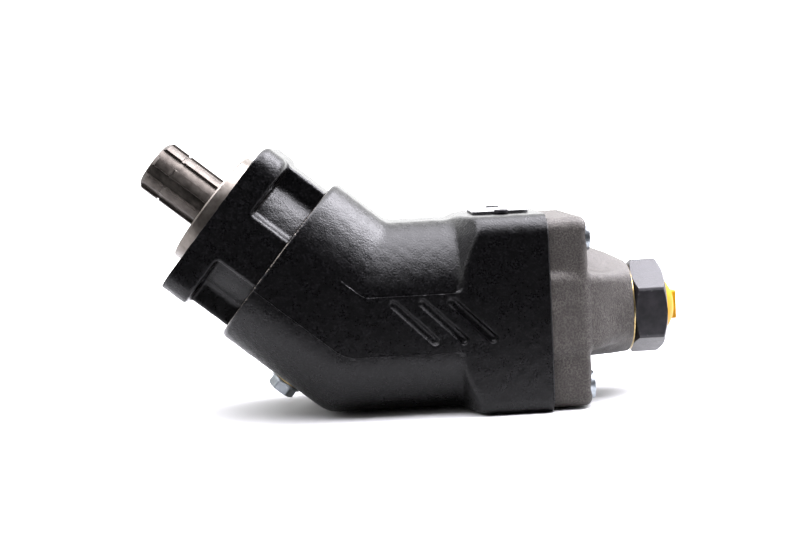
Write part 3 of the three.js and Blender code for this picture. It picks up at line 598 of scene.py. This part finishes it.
# Each shoulder's centre height and width, its half height and half width, and its power.
UPPER_SHOULDER = (17, 22, 43.8, 35.6, 1.75)
LOWER_SHOULDER = (-19, 24, 40.8, 35.4, 1.8)
BLOCK_START, BLOCK_END, BLOCK_HALF = 64, 121.0, 61.35
BLOCK_TOP, BLOCK_BOTTOM = 63, -60.85
FLAT_TOP_START, NO_CUT = 60, 200
# The block swells out of the arm at this slope along x; the second value is the length of its normal.
SWELL, SWELL_NORMAL = 0.85, 1.312
GROOVES, GROOVE_START, GROOVE_PITCH, GROOVE_RISE = 3, 24.6, 18, 12
GROOVE_R, GROOVE_MIDDLE_Y = 2.75, -60.9
CAP_SCREW_Y, CAP_SCREW_Z, CAP_SCREW_HOLE_R = 44.0, 47.2, 6.35
CHAMBER_R, SPIGOT_BORE_R = 42, 41.3
DRAIN_AT, DRAIN_FACE, DRAIN_BOSS_R = 10.8, -61.6, 15.3
DRAIN_THREAD_R, DRAIN_HOLE_R = 7.35, 4
COVER_AT, COVER_SCREW_Y, COVER_SCREW_HOLE_R = 95.9, 30.5, 3.35
TOP_PORT_R = 17
CHANNEL_Y, CHANNEL_Z, CHANNEL_R = 14, 52, 5.5


def quarter(height, width, half_height, half_width, power):
    """Distance from a superellipse quarter, from the height and width measured from its centre."""
    u = np.maximum(height, 0) / half_height
    v = np.maximum(width, 0) / half_width
    g = np.maximum(u ** power + v ** power, 1e-9) ** (1 / power)
    steep = g ** (1 - power) * np.hypot(u ** (power - 1) / half_height, v ** (power - 1) / half_width)
    return (g - 1) / np.maximum(steep, 0.4 / half_height)


def arm_section(h, y, wider=0.0):
    """Cross-section of both arms: rounded shoulders above and below a flat band along the side."""
    width = np.abs(y)
    up, out, half_height, half_width, power = UPPER_SHOULDER
    upper = quarter(h - up, width - out, half_height, half_width + wider, power)
    down, out, half_height, half_width, power = LOWER_SHOULDER
    lower = quarter(down - h, width - out, half_height, half_width, power)
    shell = np.where(h > -1, upper, lower)
    band = rectangle(h - BAND_MIDDLE, y, BAND_HALF, SIDE, 0.25)
    return fillet(shell, band, 0.6)


def to_segment(u, v, u0, v0, u1, v1):
    du, dv = u1 - u0, v1 - v0
    t = np.clip(((u - u0) * du + (v - v0) * dv) / (du * du + dv * dv), 0, 1)
    return np.hypot(u - u0 - t * du, v - v0 - t * dv)


def grooved(casting, x, y, z):
    """The three slanted grooves on the near side."""
    for k in range(GROOVES):
        start = GROOVE_START + GROOVE_PITCH * k
        in_side = to_segment(x, z, start, GROOVE_RISE, start + 2 * GROOVE_RISE, -GROOVE_RISE)
        casting = eased(casting, -(np.hypot(in_side, y - GROOVE_MIDDLE_Y) - GROOVE_R), 0.8)
    return casting


def barrel_housing(x, y, z):
    a = -x * COS + z * SIN
    n = x * SIN + z * COS
    bend_width = np.where(x * COS + z * (1 + SIN) > 0, 2.5, 5.0)
    h = soft_min(n, z, bend_width)
    arms = arm_section(h, y, 1.7 + 0.9 * np.clip((a - 6) / 26, 0, 1))
    straight = arm_section(z, y)
    outline = rectangle(z - 1, y, 62, BLOCK_HALF, np.where(z > 0, 13.0, 9.0))
    block = eased(outline, (BLOCK_START + SWELL * np.maximum(straight, 0) - x) / SWELL_NORMAL, 2)
    casting = sharp_both(fillet(arms, block, 2.5), np.abs(y) - BLOCK_HALF, BLOCK_BOTTOM - z)
    boss = rod(a - DRAIN_AT, y, n, DRAIN_BOSS_R, DRAIN_FACE, -40, 0.8)
    casting = fillet(casting, boss, 2.5) + cast_skin(x, y, z)
    casting = sharp_both(casting, DRAIN_FACE - n)
    casting = grooved(casting, x, y, z)
    seam_ease = 1.2 + 2.6 * np.clip((np.abs(n - BAND_MIDDLE) - 38) / 18, 0, 1)
    casting = eased(casting, a - (SEAM - 0.3), seam_ease)
    casting = eased(casting, x - BLOCK_END, 0.4)
    # Only the block is cut flat on top: over the shaft's arm the cut is lifted clear of the casting.
    casting = np.maximum(casting, z - BLOCK_TOP - NO_CUT * (x < FLAT_TOP_START))
    cuts = sharp_union(
        bore(y, z, x, CHAMBER_R, -8, 125),
        bore(n, y, a, SPIGOT_BORE_R, -8, 70),
        bore(a - DRAIN_AT, y, n, DRAIN_THREAD_R, -70, -46),
        bore(a - DRAIN_AT, y, n, DRAIN_HOLE_R, -60, -35),
        bore(x - COVER_AT, y, z, TOP_PORT_R, 50, 80),
        bore(z - CHANNEL_Z, y - CHANNEL_Y, x, CHANNEL_R, COVER_AT, 125),
        bore(x - COVER_AT, np.abs(y) - COVER_SCREW_Y, z, COVER_SCREW_HOLE_R, 51, 80),
        np.maximum(from_housing_screws(n, y) - SCREW_HOLE_R, slab(a, 48, 70)),
        bore(np.abs(y) - CAP_SCREW_Y, np.abs(z) - CAP_SCREW_Z, x, CAP_SCREW_HOLE_R, 93, 125),
    )
    return np.maximum(casting, -cuts)


def machined_on_barrel_housing(x, y, z):
    at_seam = -x * COS + z * SIN > SEAM - 0.62
    in_bore = (np.hypot(y, z) < 44) & (x > 5)
    return (x > BLOCK_END - 0.02) | at_seam | in_bore


add_piece(
    "barrel_housing_casting", contour(barrel_housing, (-108, -64, -66), (123, 64, 92), 1.0), WORK,
    "black_casting", "barrel_housing", finishes=("black_casting", "machined_steel"),
    pick=machined_on_barrel_housing)

# ---------------------------------------------------------------- port cap
CAP_START, CAP_END, CAP_HALF = 122.0, 146.4, 60
PLATE_HALF_Y, PLATE_CORNER_R, PLATE_EDGE_R = 55.2, 8, 4.8
CAP_SEAT_R, CAP_SEAT_AT = 9.4, 141.3
BOSS_Z, BOSS_END, BOSS_R = -4.5, 179.6, 29.6
BOSS_FACED = 0.8
# From its end the boss rises and grows towards the plate, both less and less.
BOSS_LENGTH, BOSS_RISE, BOSS_SPREAD = 27.6, 7.5, 10.2
PORT_R, CAP_HOLE_R = 16.5, 12
PIN_Z, PIN_HOLE_R = 33, 2.7
KIDNEY_CIRCLE_R, KIDNEY_HALF, KIDNEY_APART = 25, 3.5, 12


def port_cap(x, y, z):
    width = np.abs(y)
    plate = rectangle(y, z, PLATE_HALF_Y, CAP_HALF, PLATE_CORNER_R)
    plate = eased(plate, x - CAP_END, PLATE_EDGE_R)
    back = np.minimum((BOSS_END - x) / BOSS_LENGTH, 1.4)
    from_middle = np.hypot(y, z - BOSS_Z - BOSS_RISE * back * (1 - 0.28 * back))
    boss = (from_middle - BOSS_R - BOSS_SPREAD * back * (1 - 0.285 * back)) * 0.96
    hood = eased(width - CAP_HALF, slanted(width, x, 58.4, CAP_END, 0.848, 0.53), 16)
    hood = eased(hood, slanted(width, x, 48, 160, 0.62, 0.785), 14)
    hood = eased(hood, np.abs(z + 0.5) - 27 + 0.12 * np.maximum(x - 130, 0), 7)
    casting = fillet(fillet(boss, hood, 9), plate, 2.4)
    casting = np.maximum(casting, width - CAP_HALF) + cast_skin(x, y, z)
    casting = sharp_both(eased(casting, CAP_START - x, 0.4), eased(casting, x - BOSS_END + BOSS_FACED, 1.0))
    from_screws = np.hypot(width - CAP_SCREW_Y, np.abs(z) - CAP_SCREW_Z)
    kidneys = np.maximum(np.abs(np.hypot(y, z) - KIDNEY_CIRCLE_R) - KIDNEY_HALF, KIDNEY_APART - width)
    cuts = sharp_union(
        np.maximum(from_screws - CAP_SCREW_HOLE_R, slab(x, 120, 150)),
        np.maximum(from_screws - CAP_SEAT_R, slab(x, CAP_SEAT_AT, 165)),
        bore(y, z - BOSS_Z, x, PORT_R, 156, 185),
        bore(y, z - BOSS_Z, x, CAP_HOLE_R, 127, 185),
        bore(z - PIN_Z, y, x, PIN_HOLE_R, 120, 127.5),
        bore(z - CHANNEL_Z, y - CHANNEL_Y, x, CHANNEL_R, 120, 131),
        np.maximum(kidneys, slab(x, 120, 131)),
    )
    return eased(casting, -cuts, 0.5)


def machined_on_port_cap(x, y, z):
    return (x > BOSS_END - 0.9) | (x < CAP_START + 0.02)


add_piece(
    "port_cap_casting", contour(port_cap, (121, -62, -62), (181.2, 62, 62), 0.85), WORK,
    "bare_iron", "port_cap", finishes=("bare_iron", "machined_steel"), pick=machined_on_port_cap)

# ---------------------------------------------------------------- drive shaft, in the shaft frame
SHAFT_END = 165.6
DRIVE_FLANGE_R = 35.5
# Radius, start and end of each step, from the drive flange outwards.
JOURNALS = ((27, 10, 32.5), (22.5, 30, 53), (20, 50, 96.5), (18.6, 95, 112.4))
TEETH, TOOTH_HALF, TOOTH_R, ROOT_R, SPLINE_TURN = 8, 3, 18, 16, math.radians(13)
RING_GROOVE_R, RING_GROOVE_FROM_END = 17, (16.6, 14.8)
PISTONS, SOCKET_CIRCLE_R, SOCKET_R, CENTRE_SOCKET_R = 7, 25, 7.8, 6.3
DRILL_R, DRILL_DEPTH, DRILL_MOUTH = 1.6, 9, 4


def splines(n, y):
    radius = np.hypot(n, y)
    sector = 2 * math.pi / TEETH
    turn = np.mod(np.arctan2(y, n) - SPLINE_TURN + sector / 2, sector) - sector / 2
    tooth = eased(np.abs(radius * np.sin(turn)) - TOOTH_HALF, radius - TOOTH_R, 0.35)
    return fillet(tooth, radius - ROOT_R, 0.5)


def drive_shaft(n, y, a):
    radius = np.hypot(n, y)
    flange_r = np.minimum(DRIVE_FLANGE_R, DRIVE_FLANGE_R - (a - 11) * 1.8)
    flange = np.maximum(radius - flange_r, slab(a, 1.5, 14))
    blank = sharp_union(flange, *(bore(n, y, a, *journal) for journal in JOURNALS))
    form = sharp_both(radius - 18.2, a - SHAFT_END, slanted(radius, a, 15.2, SHAFT_END, 0.68, 0.73))
    toothed = sharp_both(splines(n, y), form, 111 - a)
    groove_start, groove_end = (SHAFT_END - back for back in RING_GROOVE_FROM_END)
    toothed = eased(toothed, -np.maximum(RING_GROOVE_R - radius, slab(a, groove_start, groove_end)), 0.2)
    centre_drill = sharp_union(radius - DRILL_R, radius - DRILL_R - (a - SHAFT_END + DRILL_MOUTH) * 0.5)
    centre_drill = np.maximum(centre_drill, SHAFT_END - DRILL_DEPTH - a)
    cuts = np.minimum(centre_drill, np.sqrt(n * n + y * y + a * a) - CENTRE_SOCKET_R)
    for k in range(PISTONS):
        angle = 2 * math.pi * k / PISTONS
        u, v = n - SOCKET_CIRCLE_R * math.cos(angle), y - SOCKET_CIRCLE_R * math.sin(angle)
        cuts = np.minimum(cuts, np.sqrt(u * u + v * v + a * a) - SOCKET_R)
    return np.maximum(np.minimum(blank, toothed), -cuts)


add_piece(
    "drive_shaft_steel", contour_about_axis(drive_shaft, 36.6, 0.4, 166.8, 0.6), SHAFT,
    "machined_steel", "drive_shaft", body="shaft", finishes=("shaft_steel",))


def shaft_seal(n, y, a):
    radius = np.hypot(n, y)
    case = eased(radius - 33.7, slab(a, 99.5, 107.6), 0.5)
    hollow = sharp_both(radius - 30, np.abs(radius - 25.5) - 4.5, 103 - a)
    lip = radius - 18.9 - np.abs(a - 104.6) * 0.35
    return sharp_both(case, -hollow, -lip)


add_piece(
    "shaft_seal_rubber", contour_about_axis(shaft_seal, 34.6, 98.8, 108.4, 0.6), SHAFT,
    "rubber", "shaft_seal")

CIRCLIP_R, EAR_R, EAR_N, EAR_Y = 35.6, 3.4, 28.5, 8.5


def circlip(n, y, a):
    radius = np.hypot(n, y)
    ears = np.hypot(n - EAR_N, np.abs(y) - EAR_Y) - EAR_R
    inside = 31 - radius + 1.2 * np.maximum(n / 31, -0.3)
    flat = fillet(np.maximum(radius - CIRCLIP_R, inside), ears, 1.0)
    flat = sharp_both(flat, radius - CIRCLIP_R, -(np.maximum(np.abs(y) - 5.2, -n)))
    ear_holes = np.hypot(n - 28.3, np.abs(y) - EAR_Y) - 1.1
    flat = np.maximum(flat, -ear_holes)
    return eased(flat, slab(a, 108, 110), 0.25)


add_piece(
    "seal_circlip_steel", contour_about_axis(circlip, 36.4, 107.5, 110.5, 0.45), SHAFT,
    "dark_steel", "seal_circlip")


# ---------------------------------------------------------------- screws
def socket_screw(r, head_r, low, head_start, head_end, key, deep):
    """A screw with a hexagon socket of width key, deep into its head."""
    def field(u, v, w):
        head = eased(np.hypot(u, v) - head_r, slab(w, head_start, head_end), 0.7)
        shank = eased(np.hypot(u, v) - r, slab(w, low, head_start + 1), 0.8)
        socket = np.maximum(hexagon(u, v, key, 0.0, 0.1), head_end - deep - w)
        lead = np.hypot(u, v) - key / 2 - 0.4 - (w - head_end)
        return sharp_both(np.minimum(head, shank), -socket, -lead)
    return field


screw = contour_about_axis(
    socket_screw(r=4, head_r=6.5, low=50, head_start=102, head_end=110, key=6, deep=4),
    7.2, 49.4, 110.7, 0.45)
SCREW_PLACES = ((SCREW_PITCH, 0), (0, SCREW_PITCH), (-SCREW_PITCH, 0), (0, -SCREW_PITCH))
for k, (n, y) in enumerate(SCREW_PLACES, 1):
    add_piece(
        f"housing_screw_{k}_steel", moved(screw, (n, y, 0)), SHAFT, "dark_steel", f"housing_screw_{k}")

# The cap and port pieces are drawn about the x axis: local w runs along x, local u points down.
ALONG = WORK @ Matrix(((0, 0, 1), (0, 1, 0), (-1, 0, 0))).to_4x4()
screw = contour_about_axis(
    socket_screw(r=6, head_r=9, low=95, head_start=141.6, head_end=148.6, key=8, deep=4.5),
    9.8, 94.2, 149.4, 0.55)
for k, (down, side) in enumerate(((-1, -1), (1, -1), (-1, 1), (1, 1)), 1):
    place = (down * CAP_SCREW_Z, side * CAP_SCREW_Y, 0)
    add_piece(f"cap_screw_{k}_zinc", moved(screw, place), ALONG, "zinc_steel", f"cap_screw_{k}")

# ---------------------------------------------------------------- port fitting and its plug
PORT = ALONG @ Matrix.Translation((-BOSS_Z, 0, 0))
ACROSS = 55.0
FACE_R, FACE_SLOPE = 27.2, 1.73
ADAPTER_START, ADAPTER_END = 180.5, 201.3
COLLAR_R, THREAD_R, THREAD_START = 24.5, 16, 159.0
ADAPTER_BORE_R, PLUG_BORE_R, PLUG_BORE_START = 11, 16.5, 189


def hose_adapter(u, v, w):
    radius = np.hypot(u, v)
    body = sharp_both(
        hexagon(u, v, ACROSS, math.radians(3.5), 0.6),
        slab(w, ADAPTER_START, ADAPTER_END),
        (radius - FACE_R + (w - ADAPTER_END) * FACE_SLOPE) * 0.5,
        (radius - FACE_R - (w - ADAPTER_START) * FACE_SLOPE) * 0.5,
    )
    collar = rod(u, v, w, COLLAR_R, ADAPTER_START, ADAPTER_END, 0.3)
    thread = rod(u, v, w, THREAD_R, THREAD_START, ADAPTER_START + 1, 1.2)
    mouth = radius - PLUG_BORE_R - np.maximum(w - ADAPTER_END + 1, 0)
    cuts = sharp_union(bore(u, v, w, ADAPTER_BORE_R, 150, 205), np.maximum(mouth, PLUG_BORE_START - w))
    return np.maximum(sharp_union(body, collar, thread), -cuts)


add_piece(
    "hose_adapter_steel", contour_about_axis(hose_adapter, 33, 158.3, 202.2, 0.6), PORT,
    "dark_steel", "hose_adapter")


def ring(outer, inner, low, high, ease):
    """The field of a flat ring."""
    def field(u, v, w):
        radius = np.hypot(u, v)
        return eased(np.maximum(radius - outer, inner - radius), slab(w, low, high), ease)
    return field


bonded_seal = ring(outer=28.8, inner=16.5, low=179.1, high=180.2, ease=0.3)
add_piece(
    "bonded_seal_ring", contour_about_axis(bonded_seal, 30, 178.5, 180.8, 0.4), PORT,
    "gold_zinc", "bonded_seal")

HEAD_R, HEAD_START, HEAD_END = 19.6, 201.6, 209.6
DOME_R, DOME_MIDDLE = 26, 185.0
TAB_HALF_HEIGHT, TAB_HALF_WIDTH, TAB_END = 9.5, 4, 212.45
RIBS_AT, RIBS_RADIUS, RIB_R = (193.5, 196.5, 199.0), 15.2, 0.8


def shipping_plug(u, v, w):
    radius = np.hypot(u, v)
    stem = sharp_union(rod(u, v, w, 13.8, 190, 203, 0.3), rod(u, v, w, 15.95, 191, 200.5, 1.2))
    ribs = sharp_union(*(np.hypot(radius - RIBS_RADIUS, w - at) - RIB_R for at in RIBS_AT))
    dome = np.sqrt(radius ** 2 + (w - DOME_MIDDLE) ** 2) - DOME_R
    head = eased(radius - HEAD_R, HEAD_START - w, 0.5)
    head = eased(head, np.maximum(dome, w - HEAD_END), 1.4)
    tab = eased(rectangle(u, v, TAB_HALF_HEIGHT, TAB_HALF_WIDTH, 1.5), slab(w, 206, TAB_END), 0.8)
    return fillet(sharp_union(stem, ribs, head), tab, 1.0)


add_piece(
    "shipping_plug_moulding", contour_about_axis(shipping_plug, 20.4, 189.2, 213.3, 0.5), PORT,
    "yellow_plastic", "shipping_plug", body="shipping_plug")

# ---------------------------------------------------------------- drain plug: local w runs out of its boss
DRAIN = SHAFT @ Matrix.Translation((0, 0, DRAIN_AT)) @ Matrix(((0, 0, -1), (0, 1, 0), (1, 0, 0))).to_4x4()
DRAIN_HEAD_START, DRAIN_HEAD_END, DRAIN_ACROSS = 63.6, 71.6, 17


def drain_plug(u, v, w):
    radius = np.hypot(u, v)
    chamfer = (radius - 8.3 + (w - DRAIN_HEAD_END) * 1.5) * 0.55
    head = hexagon(u, v, DRAIN_ACROSS, 0.0, 0.3)
    head = sharp_both(head, slab(w, DRAIN_HEAD_START, DRAIN_HEAD_END), chamfer)
    flange = eased(radius - 10.9, slab(w, DRAIN_HEAD_START, 65.4), 0.5)
    dish = np.sqrt(radius ** 2 + (w - 80) ** 2) - 9.6
    return sharp_union(np.maximum(fillet(head, flange, 0.6), -dish), rod(u, v, w, 7, 48, 65, 0.8))


add_piece(
    "drain_plug_zinc", contour_about_axis(drain_plug, 11.6, 47.4, 72.3, 0.4), DRAIN,
    "zinc_steel", "drain_plug")

drain_washer = ring(outer=11.5, inner=7.3, low=61.9, high=63.3, ease=0.4)
add_piece(
    "drain_washer_ring", contour_about_axis(drain_washer, 12.2, 61.3, 63.9, 0.35), DRAIN,
    "gold_zinc", "drain_plug_washer")

# ---------------------------------------------------------------- cover over the top port
COVER = WORK @ Matrix.Translation((COVER_AT, 0, 0))


def cover_outline(x, y):
    outline = rectangle(x, y, 18, 28, 5)
    return np.maximum(outline, 4.8 - np.hypot(x, np.abs(y) - COVER_SCREW_Y))


def cover_plate(x, y, z):
    return eased(cover_outline(x, y), slab(z, 64.2, 65.0), 0.2)


def cover_gasket(x, y, z):
    return sharp_both(cover_outline(x, y), slab(z, 63.3, 63.9), TOP_PORT_R - np.hypot(x, y))


for name, field, low, high, slot, node in (
    ("cover_plate_steel", cover_plate, 63.9, 65.3, "bright_steel", "cover_plate"),
    ("cover_gasket_sheet", cover_gasket, 63.05, 64.15, "rubber", "cover_gasket"),
):
    add_piece(name, contour(field, (-18.6, -28.6, low), (18.6, 28.6, high), 0.4), COVER, slot, node)

screw = contour_about_axis(
    socket_screw(r=3, head_r=4.5, low=53, head_start=63.3, head_end=66.0, key=4, deep=1.6),
    5, 52.5, 66.5, 0.35)
for k, y in ((1, -COVER_SCREW_Y), (2, COVER_SCREW_Y)):
    add_piece(f"cover_screw_{k}_steel", moved(screw, (0, y, 0)), COVER, "dark_steel", f"cover_screw_{k}")

# ---------------------------------------------------------------- finishes on the CAD nodes that stay
KEPT_FINISH = (
    ("housing_o_ring", "rubber"), ("cap_gasket", "rubber"), ("bearing_spacer", "machined_steel"),
    ("shaft_lock_nut", "dark_steel"), ("cylinder_barrel", "bronze"), ("valve_plate_pin", "bearing_steel"),
    ("valve_plate", "bronze"), ("piston_ring", "dark_steel"), ("piston", "machined_steel"),
    ("centre_pin", "machined_steel"), ("barrel_spring", "dark_steel"), ("rear_bearing", "bearing_steel"),
    ("front_bearing", "bearing_steel"),
)
for node, obj in frame["nodes"].items():
    slot = next((s for prefix, s in KEPT_FINISH if node.startswith(prefix)), None)
    if slot:
        obj.data.materials.clear()
        obj.data.materials.append(MATERIALS[slot])

# ---------------------------------------------------------------- floor and light, in metres
FLOOR_HALF, FLOOR_Z = 0.85, -0.0004
CARD_HALF, CARD_NEAR, CARD_FAR, CARD_Z = 2, -3, -0.15, 0.001
LIGHT_COLOUR = (0.97, 0.955, 1.03)
WHITE = (1.0, 1.0, 1.0)


def add_sheet(name, x_low, y_low, x_high, y_high, z, material):
    """A flat rectangle for the stage, left out of the part itself."""
    mesh = bpy.data.meshes.new(name)
    corners = [(x_low, y_low, 0), (x_high, y_low, 0), (x_high, y_high, 0), (x_low, y_high, 0)]
    mesh.from_pydata(corners, [], [(0, 1, 2, 3)])
    mesh.materials.append(material)
    sheet = bpy.data.objects.new(name, mesh)
    sheet.location.z = z
    bpy.context.scene.collection.objects.link(sheet)
    return sheet


def add_floor():
    p = Paint("pale_floor", level=0.2)
    cloud = p.noise(60.0, 2.0)
    colour = p.ramp(cloud, (0.3, 0.42), (0.7, 0.44))
    p.finish(colour, p.ramp(cloud, (0.3, 0.65), (0.7, 0.75)), p.bump(p.noise(2.0, 2.0), 0.02))
    add_sheet("floor", -FLOOR_HALF, -FLOOR_HALF, FLOOR_HALF, FLOOR_HALF, FLOOR_Z, p.material)


def add_front_card():
    """A dark card over the near side of the floor. Only reflections see it, like a dark studio wall."""
    p = Paint("dark_card", level=0.1)
    cloud = p.noise(80.0, 2.0)
    colour = p.ramp(cloud, (0.3, 0.010), (0.7, 0.014))
    p.finish(colour, p.ramp(cloud, (0.3, 0.8), (0.7, 0.9)), p.bump(cloud, 0.02))
    card = add_sheet("front_card", -CARD_HALF, CARD_NEAR, CARD_HALF, CARD_FAR, CARD_Z, p.material)
    card.visible_camera = False
    card.visible_shadow = False
    card.visible_diffuse = False


def add_world():
    """White to the camera. As light it is dark in front, and bright behind the motor and overhead."""
    world = bpy.data.worlds.new("studio")
    bpy.context.scene.world = world
    world.use_nodes = True
    nodes, links = world.node_tree.nodes, world.node_tree.links
    split = nodes.new("ShaderNodeSeparateXYZ")
    links.new(nodes.new("ShaderNodeTexCoord").outputs["Generated"], split.inputs["Vector"])

    def rising(axis, start, end, dark, bright):
        node = nodes.new("ShaderNodeMapRange")
        for socket, value in (("From Min", start), ("From Max", end), ("To Min", dark), ("To Max", bright)):
            node.inputs[socket].default_value = value
        links.new(split.outputs[axis], node.inputs["Value"])
        return node.outputs["Result"]

    def larger(first, second):
        node = nodes.new("ShaderNodeMath")
        node.operation = "MAXIMUM"
        links.new(first, node.inputs[0])
        links.new(second, node.inputs[1])
        return node.outputs[0]

    light = larger(rising("Y", 0.1, 0.9, 0.02, 3.0), rising("Z", 0.40, 0.95, 0.0, 1.0))
    seen = nodes.new("ShaderNodeLightPath").outputs["Is Camera Ray"]
    background = nodes["Background"]
    background.inputs["Color"].default_value = (*WHITE, 1)
    links.new(larger(light, seen), background.inputs["Strength"])


def add_light(name, place, aim, size, power, colour):
    data = bpy.data.lights.new(name, "AREA")
    data.shape = "RECTANGLE"
    data.size, data.size_y = size
    data.energy = power
    data.color = colour
    light = bpy.data.objects.new(name, data)
    light.location = place
    light.rotation_euler = (Vector(aim) - Vector(place)).to_track_quat("-Z", "Y").to_euler()
    bpy.context.scene.collection.objects.link(light)


add_floor()
add_world()
add_front_card()
add_light(
    "key_above", place=(0.25, -0.1, 1.1), aim=(0.25, -0.1, 0.0), size=(2.4, 1.2), power=125.0,
    colour=LIGHT_COLOUR)
add_light(
    "right_key", place=(0.8, 0.2, 0.9), aim=(0.0, -0.05, 0.08), size=(0.8, 0.9), power=48.0,
    colour=LIGHT_COLOUR)
add_light(
    "left_soft", place=(-1.2, -0.35, 0.55), aim=(0.0, 0.0, 0.08), size=(0.5, 0.8), power=6.0,
    colour=WHITE)
bpy.context.scene.view_settings.view_transform = "Standard"
bpy.context.scene.view_settings.look = "None"
